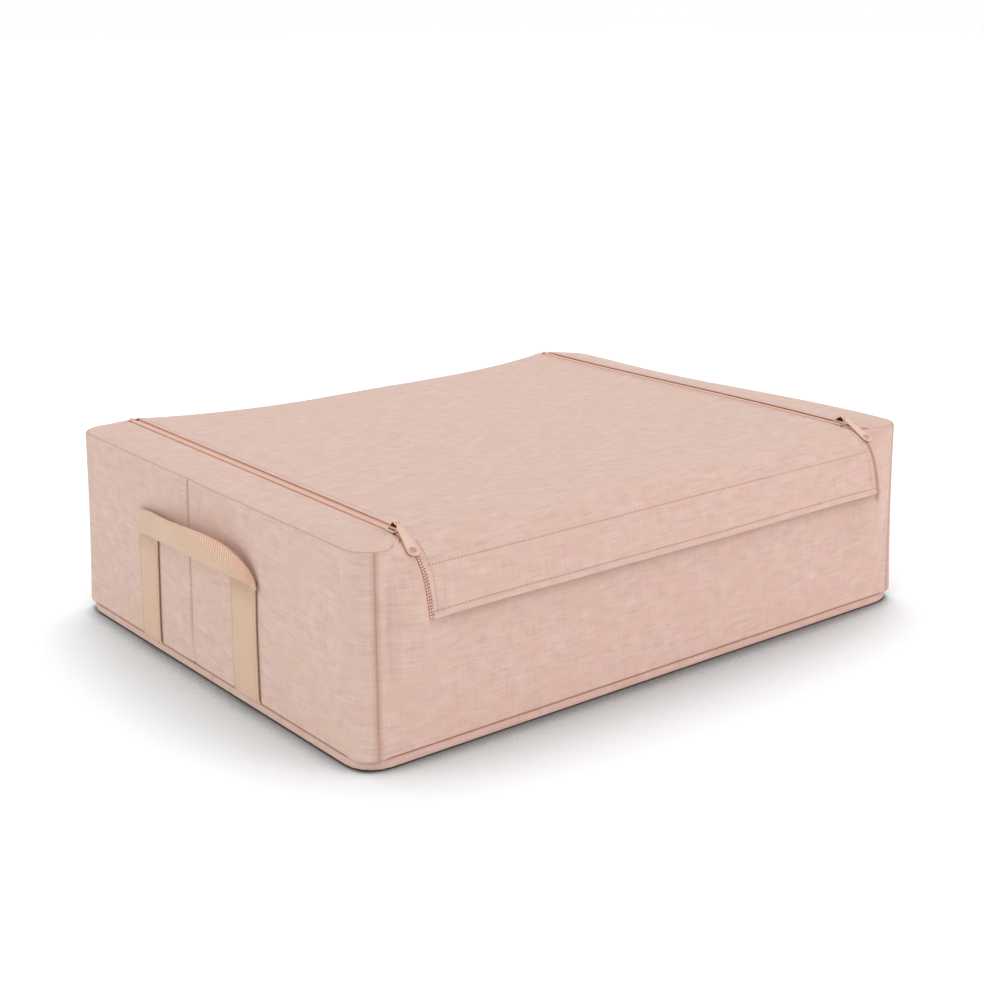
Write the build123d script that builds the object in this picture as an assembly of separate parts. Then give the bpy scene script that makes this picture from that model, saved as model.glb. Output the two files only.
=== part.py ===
"""Under bed storage box: soft cloth walls over stiffener boards, a zip lid with a front flap, webbing handles.

Frame: millimetres, +Z up. The origin is the centre of the underside, X runs along the long side, the front is -Y.
"""

import math
import os

from build123d import *

# Overall sizes of the box body
LENGTH = 600.0  # along X
DEPTH = 450.0  # along Y
HEIGHT = 170.0  # along Z
CORNER_RADIUS = 25.0  # of the body seen from above

# Layers of a wall, from outside to inside
CLOTH = 1.2  # outer linen-look cloth
BOARD = 2.4  # stiffener board
LINING = 0.8  # inner cloth

# Base
BASE_RIM = 9.0  # the base cloth turns up this far, to the bottom seam
LOOSE_BOARD = 3.0  # thickness of the lift-out base board
LOOSE_BOARD_CLOTH = 0.6  # its covering cloth
LOOSE_BOARD_GAP = 2.0  # around the lift-out board

# Side walls fold along an upright crease
CREASE_Y = 28.0
CREASE_GAP = 4.0  # between the two boards beside the crease

# Lid, zips and the front flap
STRIP_WIDTH = 47.5  # fixed margin of the top, outside each zip
ZIP_BAND = 11.0  # open width between the top strip and the lid
LID_EDGE_GAP = 1.0  # extra room between the slider and the edge of the lid
TAPE = 0.8  # zip tape thickness
TAPE_WIDTH = 13.4
COIL_WIDTH = 1.25  # of one row of the coil
COIL_HEIGHT = 2.4
COIL_SLIT = 0.7  # between the two rows
STOP_LENGTH = 3.0  # of the stop at the zip's rear end
FLAP_START = 35.0  # the lid ends and the flap begins, this far behind the front wall
FLAP_SLOPE = ((10.0, 0.0), (45.5, 19.7), (56.5, 57.4))  # forward and down from the lid's front edge
FLAP_RADII = (30.0, 14.0)
FLAP_ZIP_DROP = 39.0  # the flap's row of coil begins this far forward of its hinge line
RIM_RADIUS = 30.0  # the zip runs round the front rim on this radius
ZIP_DROP = 62.0  # from the top to the lower end of the zip on the front wall
ZIP_REAR_GAP = 6.0  # from the rear wall to the fixed side of the zip
NOTCH_MARGIN = 0.5  # beside the zip tape, where the front wall is cut down
NOTCH_DROP = 32.0  # from the top to the front wall's edge between the zips

# Slider and pull
SLIDER_LENGTH = 12.0
SLIDER_WIDTH = 10.0
SLIDER_PLATE = 1.2
SLIDER_REST = 33.0  # closed: from the front wall to its middle
SLIDER_OPEN = 13.0  # open: from the rear wall to its middle
SLIDER_ROOM = 2.0  # the lid's side of the zip stops this far from the slider
SLIDER_CLEARANCE = 0.35  # between the slider and the rows and tapes inside it
BRIDGE = 0.4  # thickness of the post between the slider's plates
FLANGE = 1.0
PLATE_RADIUS = 2.0  # corners of the slider's plates
PIN_RADIUS = 0.6
PIN_HEIGHT = 6.3  # above the slider's top plate
PIN_FORWARD = 4.0  # of the slider's middle
LUG = 1.2
LUG_GAP = 0.2  # between the lugs and the pull's barrel
PULL_BARREL = 2.2  # width between the lugs
PULL_THICKNESS = 1.4
PULL_LENGTH = 38.0
PULL_ROOT_WIDTH = 4.6
PULL_WIDTH = 8.6
PULL_DROOP = 25.0  # degrees below level at rest
PULL_LEAN = 5.2  # sideways offset of the pull's tip, away from the lid
PIVOT_CLEARANCE = 0.1  # radial, between pin and barrel

# Handles
WEBBING = 2.0
WEBBING_WIDTH = 40.0
LEG_SPACING = 155.0
HANDLE_DROP = 66.0  # from the top to where the grip leaves the legs
GRIP_HEIGHT = 28.0
GRIP_THICKNESS = 1.8
GRIP_SEWN = 24.0  # from the grip's end to where it leaves the wall
GRIP_REACH = 16.0  # how far the grip stands off the wall
GRIP_FLAT = 66.0  # straight middle of the grip
GRIP_RADIUS = 40.0
SEAM_GAP = 0.3  # between the moving grip and the sewn legs

# Worked out from the sizes above
WALL_TOP = HEIGHT - CLOTH
WALL = CLOTH + BOARD + LINING
FRONT_Y = -DEPTH / 2
REAR_Y = DEPTH / 2
STRIP_EDGE_X = LENGTH / 2 - STRIP_WIDTH
ZIP_X = STRIP_EDGE_X - ZIP_BAND / 2
LID_EDGE_X = ZIP_X - ZIP_BAND / 2 - LID_EDGE_GAP
COIL_OUT = COIL_SLIT / 2 + COIL_WIDTH  # from the zip's middle to the tape
TAPE_LOW = WALL_TOP - TAPE
COIL_MIDDLE_Z = WALL_TOP - TAPE / 2
TAPE_EDGE_X = ZIP_X + COIL_OUT + TAPE_WIDTH
NOTCH_X = TAPE_EDGE_X + NOTCH_MARGIN
NOTCH_Z = HEIGHT - NOTCH_DROP
LID_FRONT_Y = FRONT_Y + FLAP_START
ZIP_END_Y = REAR_Y - ZIP_REAR_GAP
ZIP_END_Z = HEIGHT - ZIP_DROP
SLIDER_Y = FRONT_Y + SLIDER_REST
SLIDER_END_Y = REAR_Y - SLIDER_OPEN
LEG_TOP = HEIGHT - HANDLE_DROP
SIDES = {"left": -1, "right": 1}

os.makedirs("parts", exist_ok=True)


def write(name, shape):
    """Write one piece to its own file."""
    export_step(shape, f"parts/{name}.step")


def block(x, y, z):
    """A box between two values on each axis."""
    size = [abs(b - a) for a, b in (x, y, z)]
    middle = [(a + b) / 2 for a, b in (x, y, z)]
    return Pos(*middle) * Box(*size)


def rounded_plate(inset, z0, z1):
    """A plate with the body's rounded outline, drawn in by inset."""
    outline = RectangleRounded(LENGTH - 2 * inset, DEPTH - 2 * inset, CORNER_RADIUS - inset)
    return extrude(Pos(0, 0, z0) * outline, z1 - z0)


def wall_ring(inset, thickness, z0, z1):
    """All four walls of one layer, with round corners."""
    return rounded_plate(inset, z0, z1) - rounded_plate(inset + thickness, z0, z1)


def wall_sector(side):
    """The space that one wall takes of a ring: it is split through the middle of each corner."""
    x, y = LENGTH / 2 - CORNER_RADIUS, DEPTH / 2 - CORNER_RADIUS
    out = 2 * CORNER_RADIUS
    corners = {
        "left": ((-x, -y), (-x - out, -y - out), (-x - out, y + out), (-x, y)),
        "right": ((x, -y), (x, y), (x + out, y + out), (x + out, -y - out)),
        "front": ((-x, -y), (x, -y), (x + out, -y - out), (-x - out, -y - out)),
        "back": ((-x, y), (-x - out, y + out), (x + out, y + out), (x, y)),
    }
    return extrude(Polygon(*corners[side], align=None), HEIGHT, dir=(0, 0, 1))


def front_notch():
    """The room that the flap and the zips need above the middle of the front wall."""
    return block((-NOTCH_X, NOTCH_X), (FRONT_Y, FRONT_Y + CORNER_RADIUS), (NOTCH_Z, HEIGHT))


def ribbon(points, radii, thickness, x):
    """A strip bent along a path in the YZ plane, between two values of X."""
    path = FilletPolyline(*points, radius=radii) if radii else Polyline(*points)
    return extrude(Plane.YZ.offset(min(x)) * trace(path, thickness), abs(x[1] - x[0]), dir=(1, 0, 0))


def across(side, near, far):
    """A span of X from the zip's middle, mirrored for the right side: positive values point outwards."""
    sign = SIDES[side]
    return sorted((sign * (ZIP_X + near), sign * (ZIP_X + far)))


# ---------------------------------------------------------------- base and walls
def make_base():
    """Base cloth, turned up to the bottom seam, and the lining over it."""
    cloth = rounded_plate(0, 0, CLOTH) + wall_ring(0, CLOTH, CLOTH, BASE_RIM)
    write("base_cloth", cloth)
    write("base_lining", rounded_plate(CLOTH + BOARD, CLOTH, CLOTH + LINING))


def make_walls():
    """Outer cloth, stiffener boards and lining of the four walls."""
    for side in ("left", "right", "front", "back"):
        cloth = wall_ring(0, CLOTH, BASE_RIM, WALL_TOP) & wall_sector(side)
        lining = wall_ring(CLOTH + BOARD, LINING, CLOTH + LINING, WALL_TOP) & wall_sector(side)
        if side == "front":
            cloth, lining = cloth - front_notch(), lining - front_notch()
        write(f"{side}_wall_cloth", cloth)
        write(f"{side}_wall_lining", lining)
    make_boards()


def make_boards():
    """Flat boards between cloth and lining: one at the front and back, two beside each side's crease."""
    x_end, y_end = LENGTH / 2 - CORNER_RADIUS, DEPTH / 2 - CORNER_RADIUS
    y_out = DEPTH / 2 - CLOTH
    write("front_board", block((-x_end, x_end), (-y_out, -y_out + BOARD), (CLOTH, NOTCH_Z)))
    write("back_board", block((-x_end, x_end), (y_out - BOARD, y_out), (CLOTH, WALL_TOP)))
    for side, sign in SIDES.items():
        x = (sign * (LENGTH / 2 - CLOTH), sign * (LENGTH / 2 - CLOTH - BOARD))
        halves = {"front": (-y_end, CREASE_Y - CREASE_GAP / 2), "rear": (CREASE_Y + CREASE_GAP / 2, y_end)}
        for half, y in halves.items():
            write(f"{side}_{half}_board", block(x, y, (CLOTH, WALL_TOP)))


def make_loose_board():
    """The lift-out base board and the cloth glued over its top."""
    inset = WALL + LOOSE_BOARD_GAP
    z = CLOTH + LINING
    write("base_board", rounded_plate(inset, z, z + LOOSE_BOARD))
    write("base_board_cover", rounded_plate(inset, z + LOOSE_BOARD, z + LOOSE_BOARD + LOOSE_BOARD_CLOTH))


def make_top_strips():
    """The fixed margin of the top, outside each zip."""
    for side, sign in SIDES.items():
        reach = block((sign * STRIP_EDGE_X, sign * LENGTH), (-DEPTH, DEPTH), (WALL_TOP, HEIGHT))
        bend = LID_FRONT_Y - SLIDER_LENGTH
        notch = block((-NOTCH_X, NOTCH_X), (-DEPTH, bend), (WALL_TOP, HEIGHT))
        write(f"{side}_top_strip", (rounded_plate(0, WALL_TOP, HEIGHT) & reach) - notch)


# ---------------------------------------------------------------- lid and flap
def flap_path(inset):
    """The flap's profile in the YZ plane, drawn in by inset, with the radii of its bends."""
    points = [(LID_FRONT_Y, HEIGHT)] + [(LID_FRONT_Y - f, HEIGHT - d) for f, d in FLAP_SLOPE]
    turns = []
    for a, b in zip(points, points[1:]):
        run = math.dist(a, b)
        turns.append(((a[1] - b[1]) / run, (b[0] - a[0]) / run))
    moved = [(points[0][0] + turns[0][0] * inset, points[0][1] + turns[0][1] * inset)]
    for point, before, after in zip(points[1:-1], turns, turns[1:]):
        share = inset / (1 + before[0] * after[0] + before[1] * after[1])
        moved.append((point[0] + (before[0] + after[0]) * share, point[1] + (before[1] + after[1]) * share))
    moved.append((points[-1][0] + turns[-1][0] * inset, points[-1][1] + turns[-1][1] * inset))
    return moved, [radius - inset for radius in FLAP_RADII]


def make_lid():
    """Lid cloth and lining, from the rear seam to the line where the flap bends down."""
    y = (LID_FRONT_Y, REAR_Y)
    write("lid_panel", block((-LID_EDGE_X, LID_EDGE_X), y, (WALL_TOP, HEIGHT)))
    inner = LID_EDGE_X - TAPE_WIDTH
    lining_y = (LID_FRONT_Y, REAR_Y - WALL - LINING)
    write("lid_lining", block((-inner, inner), lining_y, (WALL_TOP - LINING, WALL_TOP)))


def make_flap():
    """The flap over the front rim and the facing sewn behind it."""
    path, radii = flap_path(CLOTH / 2)
    write("flap_panel", ribbon(path, radii, CLOTH, (-LID_EDGE_X, LID_EDGE_X)))
    inner = LID_EDGE_X - TAPE_WIDTH
    path, radii = flap_path(CLOTH + LINING / 2)
    write("flap_facing", ribbon(path, radii, LINING, (-inner, inner)))


# ---------------------------------------------------------------- zips
def make_fixed_zips():
    """Tape and coil on the body's side: along the top, round the rim and down the front wall."""
    end = (FRONT_Y - TAPE / 2, ZIP_END_Z)
    tape_path = ((ZIP_END_Y, COIL_MIDDLE_Z), (end[0], COIL_MIDDLE_Z), end)
    front = FRONT_Y - COIL_HEIGHT / 2
    coil_path = ((ZIP_END_Y, COIL_MIDDLE_Z), (front, COIL_MIDDLE_Z), (front, ZIP_END_Z))
    for side in SIDES:
        tape = ribbon(tape_path, [RIM_RADIUS - TAPE / 2], TAPE, across(side, COIL_OUT, COIL_OUT + TAPE_WIDTH))
        write(f"{side}_fixed_zip_tape", tape)
        coil = ribbon(coil_path, [RIM_RADIUS], COIL_HEIGHT, across(side, COIL_SLIT / 2, COIL_OUT))
        write(f"{side}_fixed_zip_coil", coil)
        x = across(side, -COIL_OUT, COIL_OUT)
        y = (ZIP_END_Y, ZIP_END_Y + STOP_LENGTH)
        write(f"{side}_zip_stop", block(x, y, (WALL_TOP, WALL_TOP + COIL_HEIGHT)))


def make_lid_zips():
    """Tape and coil on the lid's side, clear of the slider at both ends of its travel."""
    y = (
        SLIDER_Y + SLIDER_LENGTH / 2 + SLIDER_ROOM,
        SLIDER_END_Y - SLIDER_LENGTH / 2 - SLIDER_ROOM,
    )
    for side in SIDES:
        x = across(side, -COIL_OUT - TAPE_WIDTH + LID_EDGE_GAP, -COIL_OUT)
        write(f"{side}_lid_zip_tape", block(x, y, (TAPE_LOW, WALL_TOP)))
        z = (COIL_MIDDLE_Z - COIL_HEIGHT / 2, COIL_MIDDLE_Z + COIL_HEIGHT / 2)
        write(f"{side}_lid_zip_coil", block(across(side, -COIL_OUT, -COIL_SLIT / 2), y, z))


def make_flap_zips():
    """Tape and coil down the flap's side edges, below the slider and its pull."""
    start = LID_FRONT_Y - FLAP_ZIP_DROP
    below = block((-LENGTH, LENGTH), (start - DEPTH, start), (0, HEIGHT))
    for side in SIDES:
        path, radii = flap_path(CLOTH + TAPE / 2)
        x = across(side, -COIL_OUT - TAPE_WIDTH + LID_EDGE_GAP, -COIL_OUT)
        write(f"{side}_flap_zip_tape", ribbon(path, radii, TAPE, x) & below)
        x = across(side, -COIL_OUT, -COIL_SLIT / 2)
        write(f"{side}_flap_zip_coil", ribbon(path, radii, COIL_HEIGHT, x) & below)


def make_slider(sign):
    """A slider: two plates joined by a post, flanges beside the rows, and lugs with the pull's pin."""
    half, reach = SLIDER_WIDTH / 2, SLIDER_LENGTH / 2
    low = COIL_MIDDLE_Z - COIL_HEIGHT / 2 - SLIDER_CLEARANCE
    top = COIL_MIDDLE_Z + COIL_HEIGHT / 2 + SLIDER_CLEARANCE
    slider = block((-BRIDGE / 2, BRIDGE / 2), (-reach + FLANGE, -reach / 2), (low, top))
    for z in ((low - SLIDER_PLATE, low), (top, top + SLIDER_PLATE)):
        plate = block((-half, half), (-reach, reach), z)
        slider += fillet(plate.edges().filter_by(Axis.Z), PLATE_RADIUS)
    pin_z = top + SLIDER_PLATE + PIN_HEIGHT
    lug_x = PULL_BARREL / 2 + LUG_GAP
    lug_reach = 2 * PIN_RADIUS
    flange_y = (-reach + PLATE_RADIUS, reach - PLATE_RADIUS)
    lug_y = (-PIN_FORWARD - lug_reach, -PIN_FORWARD + lug_reach)
    for edge in (-1, 1):
        x = (edge * half, edge * (half - FLANGE))
        slider += block(x, flange_y, (WALL_TOP + SLIDER_CLEARANCE, top))
        slider += block(x, flange_y, (low, TAPE_LOW - SLIDER_CLEARANCE))
        slider += block((edge * lug_x, edge * (lug_x + LUG)), lug_y, (top, pin_z + lug_reach))
    pin = Cylinder(PIN_RADIUS, 2 * lug_x + LUG, rotation=(0, 90, 0))
    slider += Pos(0, -PIN_FORWARD, pin_z) * pin
    return Pos(sign * ZIP_X, SLIDER_Y, 0) * slider, pin_z


def make_pull(sign, pin_z):
    """A tapered tab with a round end and a dimple, on a barrel that turns on the slider's pin."""
    outer = PIN_RADIUS + PIVOT_CLEARANCE + PULL_THICKNESS / 2
    barrel = Cylinder(outer, PULL_BARREL, rotation=(0, 90, 0))
    bore = Cylinder(PIN_RADIUS + PIVOT_CLEARANCE, PULL_BARREL, rotation=(0, 90, 0))
    tip = PULL_LENGTH - PULL_WIDTH / 2
    lean = sign * PULL_LEAN
    near, clear_of_lugs, wide = PULL_BARREL / 2, -3 * PIN_RADIUS, -7 * PIN_RADIUS
    drift = -wide / tip * lean
    neck = Polygon(
        (-near, -PIN_RADIUS - PIVOT_CLEARANCE),
        (near, -PIN_RADIUS - PIVOT_CLEARANCE),
        (near, clear_of_lugs),
        (drift + PULL_ROOT_WIDTH / 2, wide),
        (lean + PULL_WIDTH / 2, -tip),
        (lean - PULL_WIDTH / 2, -tip),
        (drift - PULL_ROOT_WIDTH / 2, wide),
        (-near, clear_of_lugs),
        align=None,
    )
    outline = neck + Pos(lean, -tip) * Circle(PULL_WIDTH / 2)
    tab = extrude(Pos(0, 0, -PULL_THICKNESS / 2) * outline, PULL_THICKNESS, dir=(0, 0, 1))
    dimple = Pos(lean, -tip, PULL_THICKNESS / 2) * Cylinder(PULL_WIDTH / 4, PULL_THICKNESS / 2)
    pull = (barrel + tab - dimple) - bore
    return Pos(sign * ZIP_X, SLIDER_Y - PIN_FORWARD, pin_z) * Rot(PULL_DROOP, 0, 0) * pull


def make_sliders():
    """Both sliders and their pulls."""
    for side, sign in SIDES.items():
        slider, pin_z = make_slider(sign)
        write(f"{side}_slider", slider)
        write(f"{side}_pull", make_pull(sign, pin_z))


# ---------------------------------------------------------------- handles
def make_handles():
    """Webbing legs sewn to each side wall, and the grip that swings out between their upper ends."""
    face = LENGTH / 2
    leg_y = {"front": CREASE_Y - LEG_SPACING / 2, "rear": CREASE_Y + LEG_SPACING / 2}
    for side, sign in SIDES.items():
        for place, y in leg_y.items():
            span = (y - WEBBING_WIDTH / 2, y + WEBBING_WIDTH / 2)
            leg = block((sign * face, sign * (face + WEBBING)), span, (BASE_RIM, LEG_TOP))
            write(f"{side}_{place}_handle_leg", leg)
        near = sign * (face + WEBBING / 2)
        far = near + sign * GRIP_REACH
        half = (LEG_SPACING + WEBBING_WIDTH) / 2
        bend = half - GRIP_SEWN
        path = FilletPolyline(
            (near, CREASE_Y - half),
            (near, CREASE_Y - bend),
            (far, CREASE_Y - GRIP_FLAT / 2),
            (far, CREASE_Y + GRIP_FLAT / 2),
            (near, CREASE_Y + bend),
            (near, CREASE_Y + half),
            radius=GRIP_RADIUS,
        )
        z = LEG_TOP + SEAM_GAP
        grip = extrude(Pos(0, 0, z) * trace(path, GRIP_THICKNESS), GRIP_HEIGHT, dir=(0, 0, 1))
        write(f"{side}_handle_grip", grip)


make_base()
make_walls()
make_loose_board()
make_top_strips()
make_lid()
make_flap()
make_fixed_zips()
make_lid_zips()
make_flap_zips()
make_sliders()
make_handles()
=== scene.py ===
"""Under bed box: a soft linen-look case with a zip lid, a front flap and webbing handles.

Every size is in metres, in the frame of the packed model: +Z up, the front is -Y.
"""

import math

import bmesh
import bpy
from mathutils import Matrix, Vector, noise


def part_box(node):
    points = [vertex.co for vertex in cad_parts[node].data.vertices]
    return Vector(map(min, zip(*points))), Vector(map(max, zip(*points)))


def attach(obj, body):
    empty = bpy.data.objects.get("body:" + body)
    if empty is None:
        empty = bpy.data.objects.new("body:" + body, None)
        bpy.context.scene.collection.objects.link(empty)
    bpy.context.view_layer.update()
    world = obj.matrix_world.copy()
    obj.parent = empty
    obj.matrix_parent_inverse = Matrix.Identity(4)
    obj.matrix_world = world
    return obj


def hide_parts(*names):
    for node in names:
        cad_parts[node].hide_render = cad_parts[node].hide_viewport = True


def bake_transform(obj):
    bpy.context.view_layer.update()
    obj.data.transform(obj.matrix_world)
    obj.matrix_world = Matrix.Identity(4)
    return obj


bl_info = {
    "name": "Under bed box",
    "version": (1, 0, 0),
    "blender": (4, 5, 0),
    "location": "3D View > Sidebar > Under bed box",
    "description": "Soft storage box with a zip lid, a front flap and webbing handles",
    "category": "Object",
}

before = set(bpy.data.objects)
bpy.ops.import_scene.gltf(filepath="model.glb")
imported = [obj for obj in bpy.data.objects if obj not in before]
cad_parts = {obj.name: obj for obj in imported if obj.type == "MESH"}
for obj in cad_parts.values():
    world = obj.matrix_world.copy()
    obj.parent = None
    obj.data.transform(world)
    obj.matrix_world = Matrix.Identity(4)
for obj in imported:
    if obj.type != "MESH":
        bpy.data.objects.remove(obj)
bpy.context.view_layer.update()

MM = 0.001
X, Y, Z = range(3)
SIDES = {"left": -1, "right": 1}

# Places read from the packed model
HALF_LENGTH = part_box("right_wall_cloth")[1][X]
HALF_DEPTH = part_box("back_wall_cloth")[1][Y]
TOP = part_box("lid_panel")[1][Z]
SEAM_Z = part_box("front_wall_cloth")[0][Z]
NOTCH_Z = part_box("front_board")[1][Z]
STRIP_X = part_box("right_top_strip")[0][X]
LID_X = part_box("lid_panel")[1][X]
LID_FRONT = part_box("lid_panel")[0][Y]
ZIP_X = (STRIP_X + LID_X) / 2 + 0.5 * MM
ZIP_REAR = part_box("left_fixed_zip_tape")[1][Y]
TAPE_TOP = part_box("left_fixed_zip_tape")[1][Z]
TAPE_OUT_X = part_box("right_fixed_zip_tape")[1][X]
LID_TAPE_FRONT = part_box("left_lid_zip_tape")[0][Y]
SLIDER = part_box("right_slider")
PIN = (0.0, -4 * MM, -1.2 * MM)  # the pull's pin, from the middle of the slider's top
CREASE_Y = (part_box("left_front_board")[1][Y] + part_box("left_rear_board")[0][Y]) / 2 - 6 * MM
LEG_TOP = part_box("left_front_handle_leg")[1][Z]
CORNER = 25 * MM  # radius of the body's upright corners
ARC = math.pi / 2 * CORNER
FLAT_X = HALF_LENGTH - CORNER
FLAT_Y = HALF_DEPTH - CORNER
ROUND = 3.5 * MM  # radius of the body's upper edge
ROUND_TURN = math.radians(50)  # the top seam lies this far round that edge
SEAM_ARC = math.radians(25) * CORNER  # a corner seam lies this far round from the long walls
PERIMETER = 4 * (FLAT_X + FLAT_Y + ARC)
REAR_SEAM_Y = HALF_DEPTH - ROUND * (1 - math.cos(ROUND_TURN))
CUT_X = STRIP_X - 2.3 * MM  # the front wall is cut down for the flap between these
FOLD_Y = -150 * MM  # the lid lies level back from here; its front end and the flap run down from here
STEP = 0.5 * MM  # from one point of the side profile to the next
TAPE_IN_X = 233 * MM  # inner edge of the tapes on the lid and the flap
HEM_STITCH = 4.4 * MM  # from a hem's edge to its stitches


def tint(red, green, blue):
    """Linear colour of an 8-bit one."""
    shares = [value / 255 for value in (red, green, blue)]
    return [c / 12.92 if c <= 0.04045 else ((c + 0.055) / 1.055) ** 2.4 for c in shares]


def ease(value):
    """0 to 1, level at both ends."""
    value = within(value)
    return value * value * (3 - 2 * value)


def within(value):
    """The nearest number from 0 to 1."""
    return min(1.0, max(0.0, value))


def near(distance, reach):
    """1 at an edge, falling to 0 at reach from it."""
    return max(0.0, 1 - distance / reach)


def bell(distance, width):
    """1 on a line, falling softly to both sides."""
    return math.exp(-((distance / width) ** 2))


def ticks(*marks):
    """Places from the first mark to the last: mark, number of steps, mark, number of steps, mark."""
    places = [marks[0]]
    for start, steps, end in zip(marks[::2], marks[1::2], marks[2::2]):
        places += [start + (end - start) * (k + 1) / steps for k in range(steps)]
    return places


def lengths(spots):
    """The length of a line of spots up to each of them."""
    runs = [0.0]
    for here, after in zip(spots, spots[1:]):
        runs.append(runs[-1] + math.dist(here, after))
    return runs


def tuck(distance, depth=0.9 * MM, reach=2.2 * MM):
    """How deep cloth is drawn in beside a seam."""
    return depth * (1 - distance / reach) ** 2 if distance < reach else 0.0


def round_off(inset):
    """How far a rounded upper edge has dropped, by the distance in from it."""
    return ROUND - math.sqrt(ROUND**2 - (ROUND - max(0.0, inset)) ** 2) if inset < ROUND else 0.0


def hem(distance, height):
    """Relief of a hem at a distance from its edge."""
    return height * ease(distance / (0.8 * MM)) * (1 - ease((distance - 5.5 * MM) / (3 * MM)))


def ripple(along, up, seed, size=1.0):
    """Soft unevenness of stretched cloth."""
    broad = noise.noise(Vector((along / 0.11, up / 0.09, seed)))
    small = noise.noise(Vector((along / 0.045, up / 0.04, seed + 7.3)))
    return size * (0.8 * broad + 0.35 * small) * MM


# ------------------------------------------------------------------ properties
def length(name, description, default):
    """A size, in metres."""
    kind = {"unit": "LENGTH", "subtype": "DISTANCE", "precision": 4}
    return bpy.props.FloatProperty(name=name, description=description, default=default, min=0.0, **kind)


def colour(name, description, *default):
    """A colour, from an 8-bit one."""
    return bpy.props.FloatVectorProperty(
        name=name, description=description, default=tint(*default), size=3, min=0.0, max=1.0, subtype="COLOR"
    )


class BoxShape(bpy.types.PropertyGroup):
    """Sizes of the soft shapes."""

    side_swell: length("Side swell", "How far the short sides stand out between their seams", 1.4 * MM)
    long_swell: length("Long swell", "How far the front and back stand out between their seams", 1.8 * MM)
    foot_spread: length("Foot spread", "How much wider the walls stand at the bottom seam", 1.5 * MM)
    crease_depth: length("Crease depth", "Depth of the upright fold in each short side", 1.6 * MM)
    lid_sag: length("Lid sag", "How far the middle of the lid hangs between the zips", 6.0 * MM)
    rear_sag: length("Rear sag", "How far the lid's rear edge dips in the middle", 11.5 * MM)
    hem_height: length("Hem height", "From the flap's lower edge to its upper stitch line", 39.0 * MM)
    edge_stitch: length("Edge stitch", "From the flap's lower edge to its lower stitch line", 5.5 * MM)
    stitch_pitch: length("Stitch pitch", "From one stitch to the next", 2.6 * MM)
    bead_pitch: length("Coil pitch", "From one turn of the zip coil to the next", 2.2 * MM)
    rib_pitch: length("Rib pitch", "From one rib of the webbing to the next", 2.4 * MM)


class BoxColours(bpy.types.PropertyGroup):
    """Colours of the cloths, threads, fittings and floor."""

    linen: colour("Linen", "Middle tone of the outer cloth", 222, 192, 180)
    linen_light: colour("Linen light", "Light threads of the outer cloth", 237, 210, 199)
    linen_dark: colour("Linen dark", "Dark threads of the outer cloth", 199, 161, 149)
    linen_warm: colour("Linen warm", "Sandy patches of the outer cloth", 219, 190, 168)
    linen_blush: colour("Linen blush", "Pink patches of the outer cloth", 223, 184, 175)
    # the seam colour is also the colour of the painted shade beside seams, creases and edges, and of the
    # enamel's worn spots
    seam: colour("Seam", "Thread in the seams", 168, 120, 98)
    stitch: colour("Stitch", "Thread of the stitch lines", 172, 126, 104)
    webbing: colour("Webbing", "Handle webbing", 224, 192, 166)
    # painted light on the bent grip: highlights on the ribs' tops and shade between them; then painted shade
    # along the webbing's edges and below the grip
    webbing_rib_highlight: colour("Webbing light", "Tops of the webbing's ribs where it bends", 250, 212, 190)
    webbing_rib_shade: colour("Webbing deep", "Between the webbing's ribs where it bends", 198, 140, 112)
    webbing_edge_shade: colour("Webbing edge", "Bound edge of the webbing", 150, 98, 66)
    tape: colour("Zip tape", "Woven tape of the zips", 232, 182, 157)
    coil: colour("Zip coil", "Coil of the zips", 246, 212, 194)
    enamel: colour("Enamel", "Painted slider and pull", 236, 200, 180)
    lining: colour("Lining", "Cloth inside the box", 226, 214, 202)
    board: colour("Board", "Stiffener boards", 176, 156, 132)
    floor: colour("Floor", "Floor under the box", 246, 251, 253)


# ------------------------------------------------------------------- finishes
def feed(tree, socket, value):
    """Give a socket a value or a link."""
    if isinstance(value, Value):
        value = value.socket
    if isinstance(value, bpy.types.NodeSocket):
        tree.links.new(value, socket)
    elif socket.type == "RGBA" and len(value) == 3:
        socket.default_value = (*value, 1.0)
    else:
        socket.default_value = value


def add_node(tree, kind, settings=None, sockets=None):
    """A node with its settings made first, then the values or links of its sockets."""
    made = tree.nodes.new(kind)
    for name, value in (settings or {}).items():
        if name == "stops":
            ramp = made.color_ramp
            while len(ramp.elements) < len(value):
                ramp.elements.new(0.5)
            for element, (place, shade) in zip(ramp.elements, value):
                element.position = place
                element.color = (*shade, 1.0)
        else:
            setattr(made, name, value)
    for place, value in (sockets or {}).items():
        feed(tree, made.inputs[place], value)
    return made


def scaled(shade, factor):
    """A colour made darker or lighter."""
    return [min(1.0, part * factor) for part in shade]


class Value:
    """A number inside a material, so that its sums are written plainly."""

    def __init__(self, finish, socket):
        self.finish = finish
        self.socket = socket

    def sum(self, operation, first, second):
        """One step of arithmetic."""
        node = self.finish.node("ShaderNodeMath", {"operation": operation}, {0: first, 1: second})
        return Value(self.finish, node.outputs[0])

    def __add__(self, other):
        return self.sum("ADD", self, other)

    def __sub__(self, other):
        return self.sum("SUBTRACT", self, other)

    def __rsub__(self, other):
        return self.sum("SUBTRACT", other, self)

    def __mul__(self, other):
        return self.sum("MULTIPLY", self, other)

    def __truediv__(self, other):
        return self.sum("DIVIDE", self, other)

    def __pow__(self, other):
        return self.sum("POWER", self, other)

    __radd__ = __add__
    __rmul__ = __mul__

    def wave(self, pitch):
        """-1 to 1 and back, once for each pitch."""
        return self.sum("SINE", self * (2 * math.pi / pitch), 0.0)

    def between(self, low, high):
        """0 below low, 1 above high."""
        ends = {0: self, 1: low, 2: high, 3: 0.0, 4: 1.0}
        return Value(self.finish, self.finish.node("ShaderNodeMapRange", {"clamp": True}, ends).outputs[0])


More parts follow.
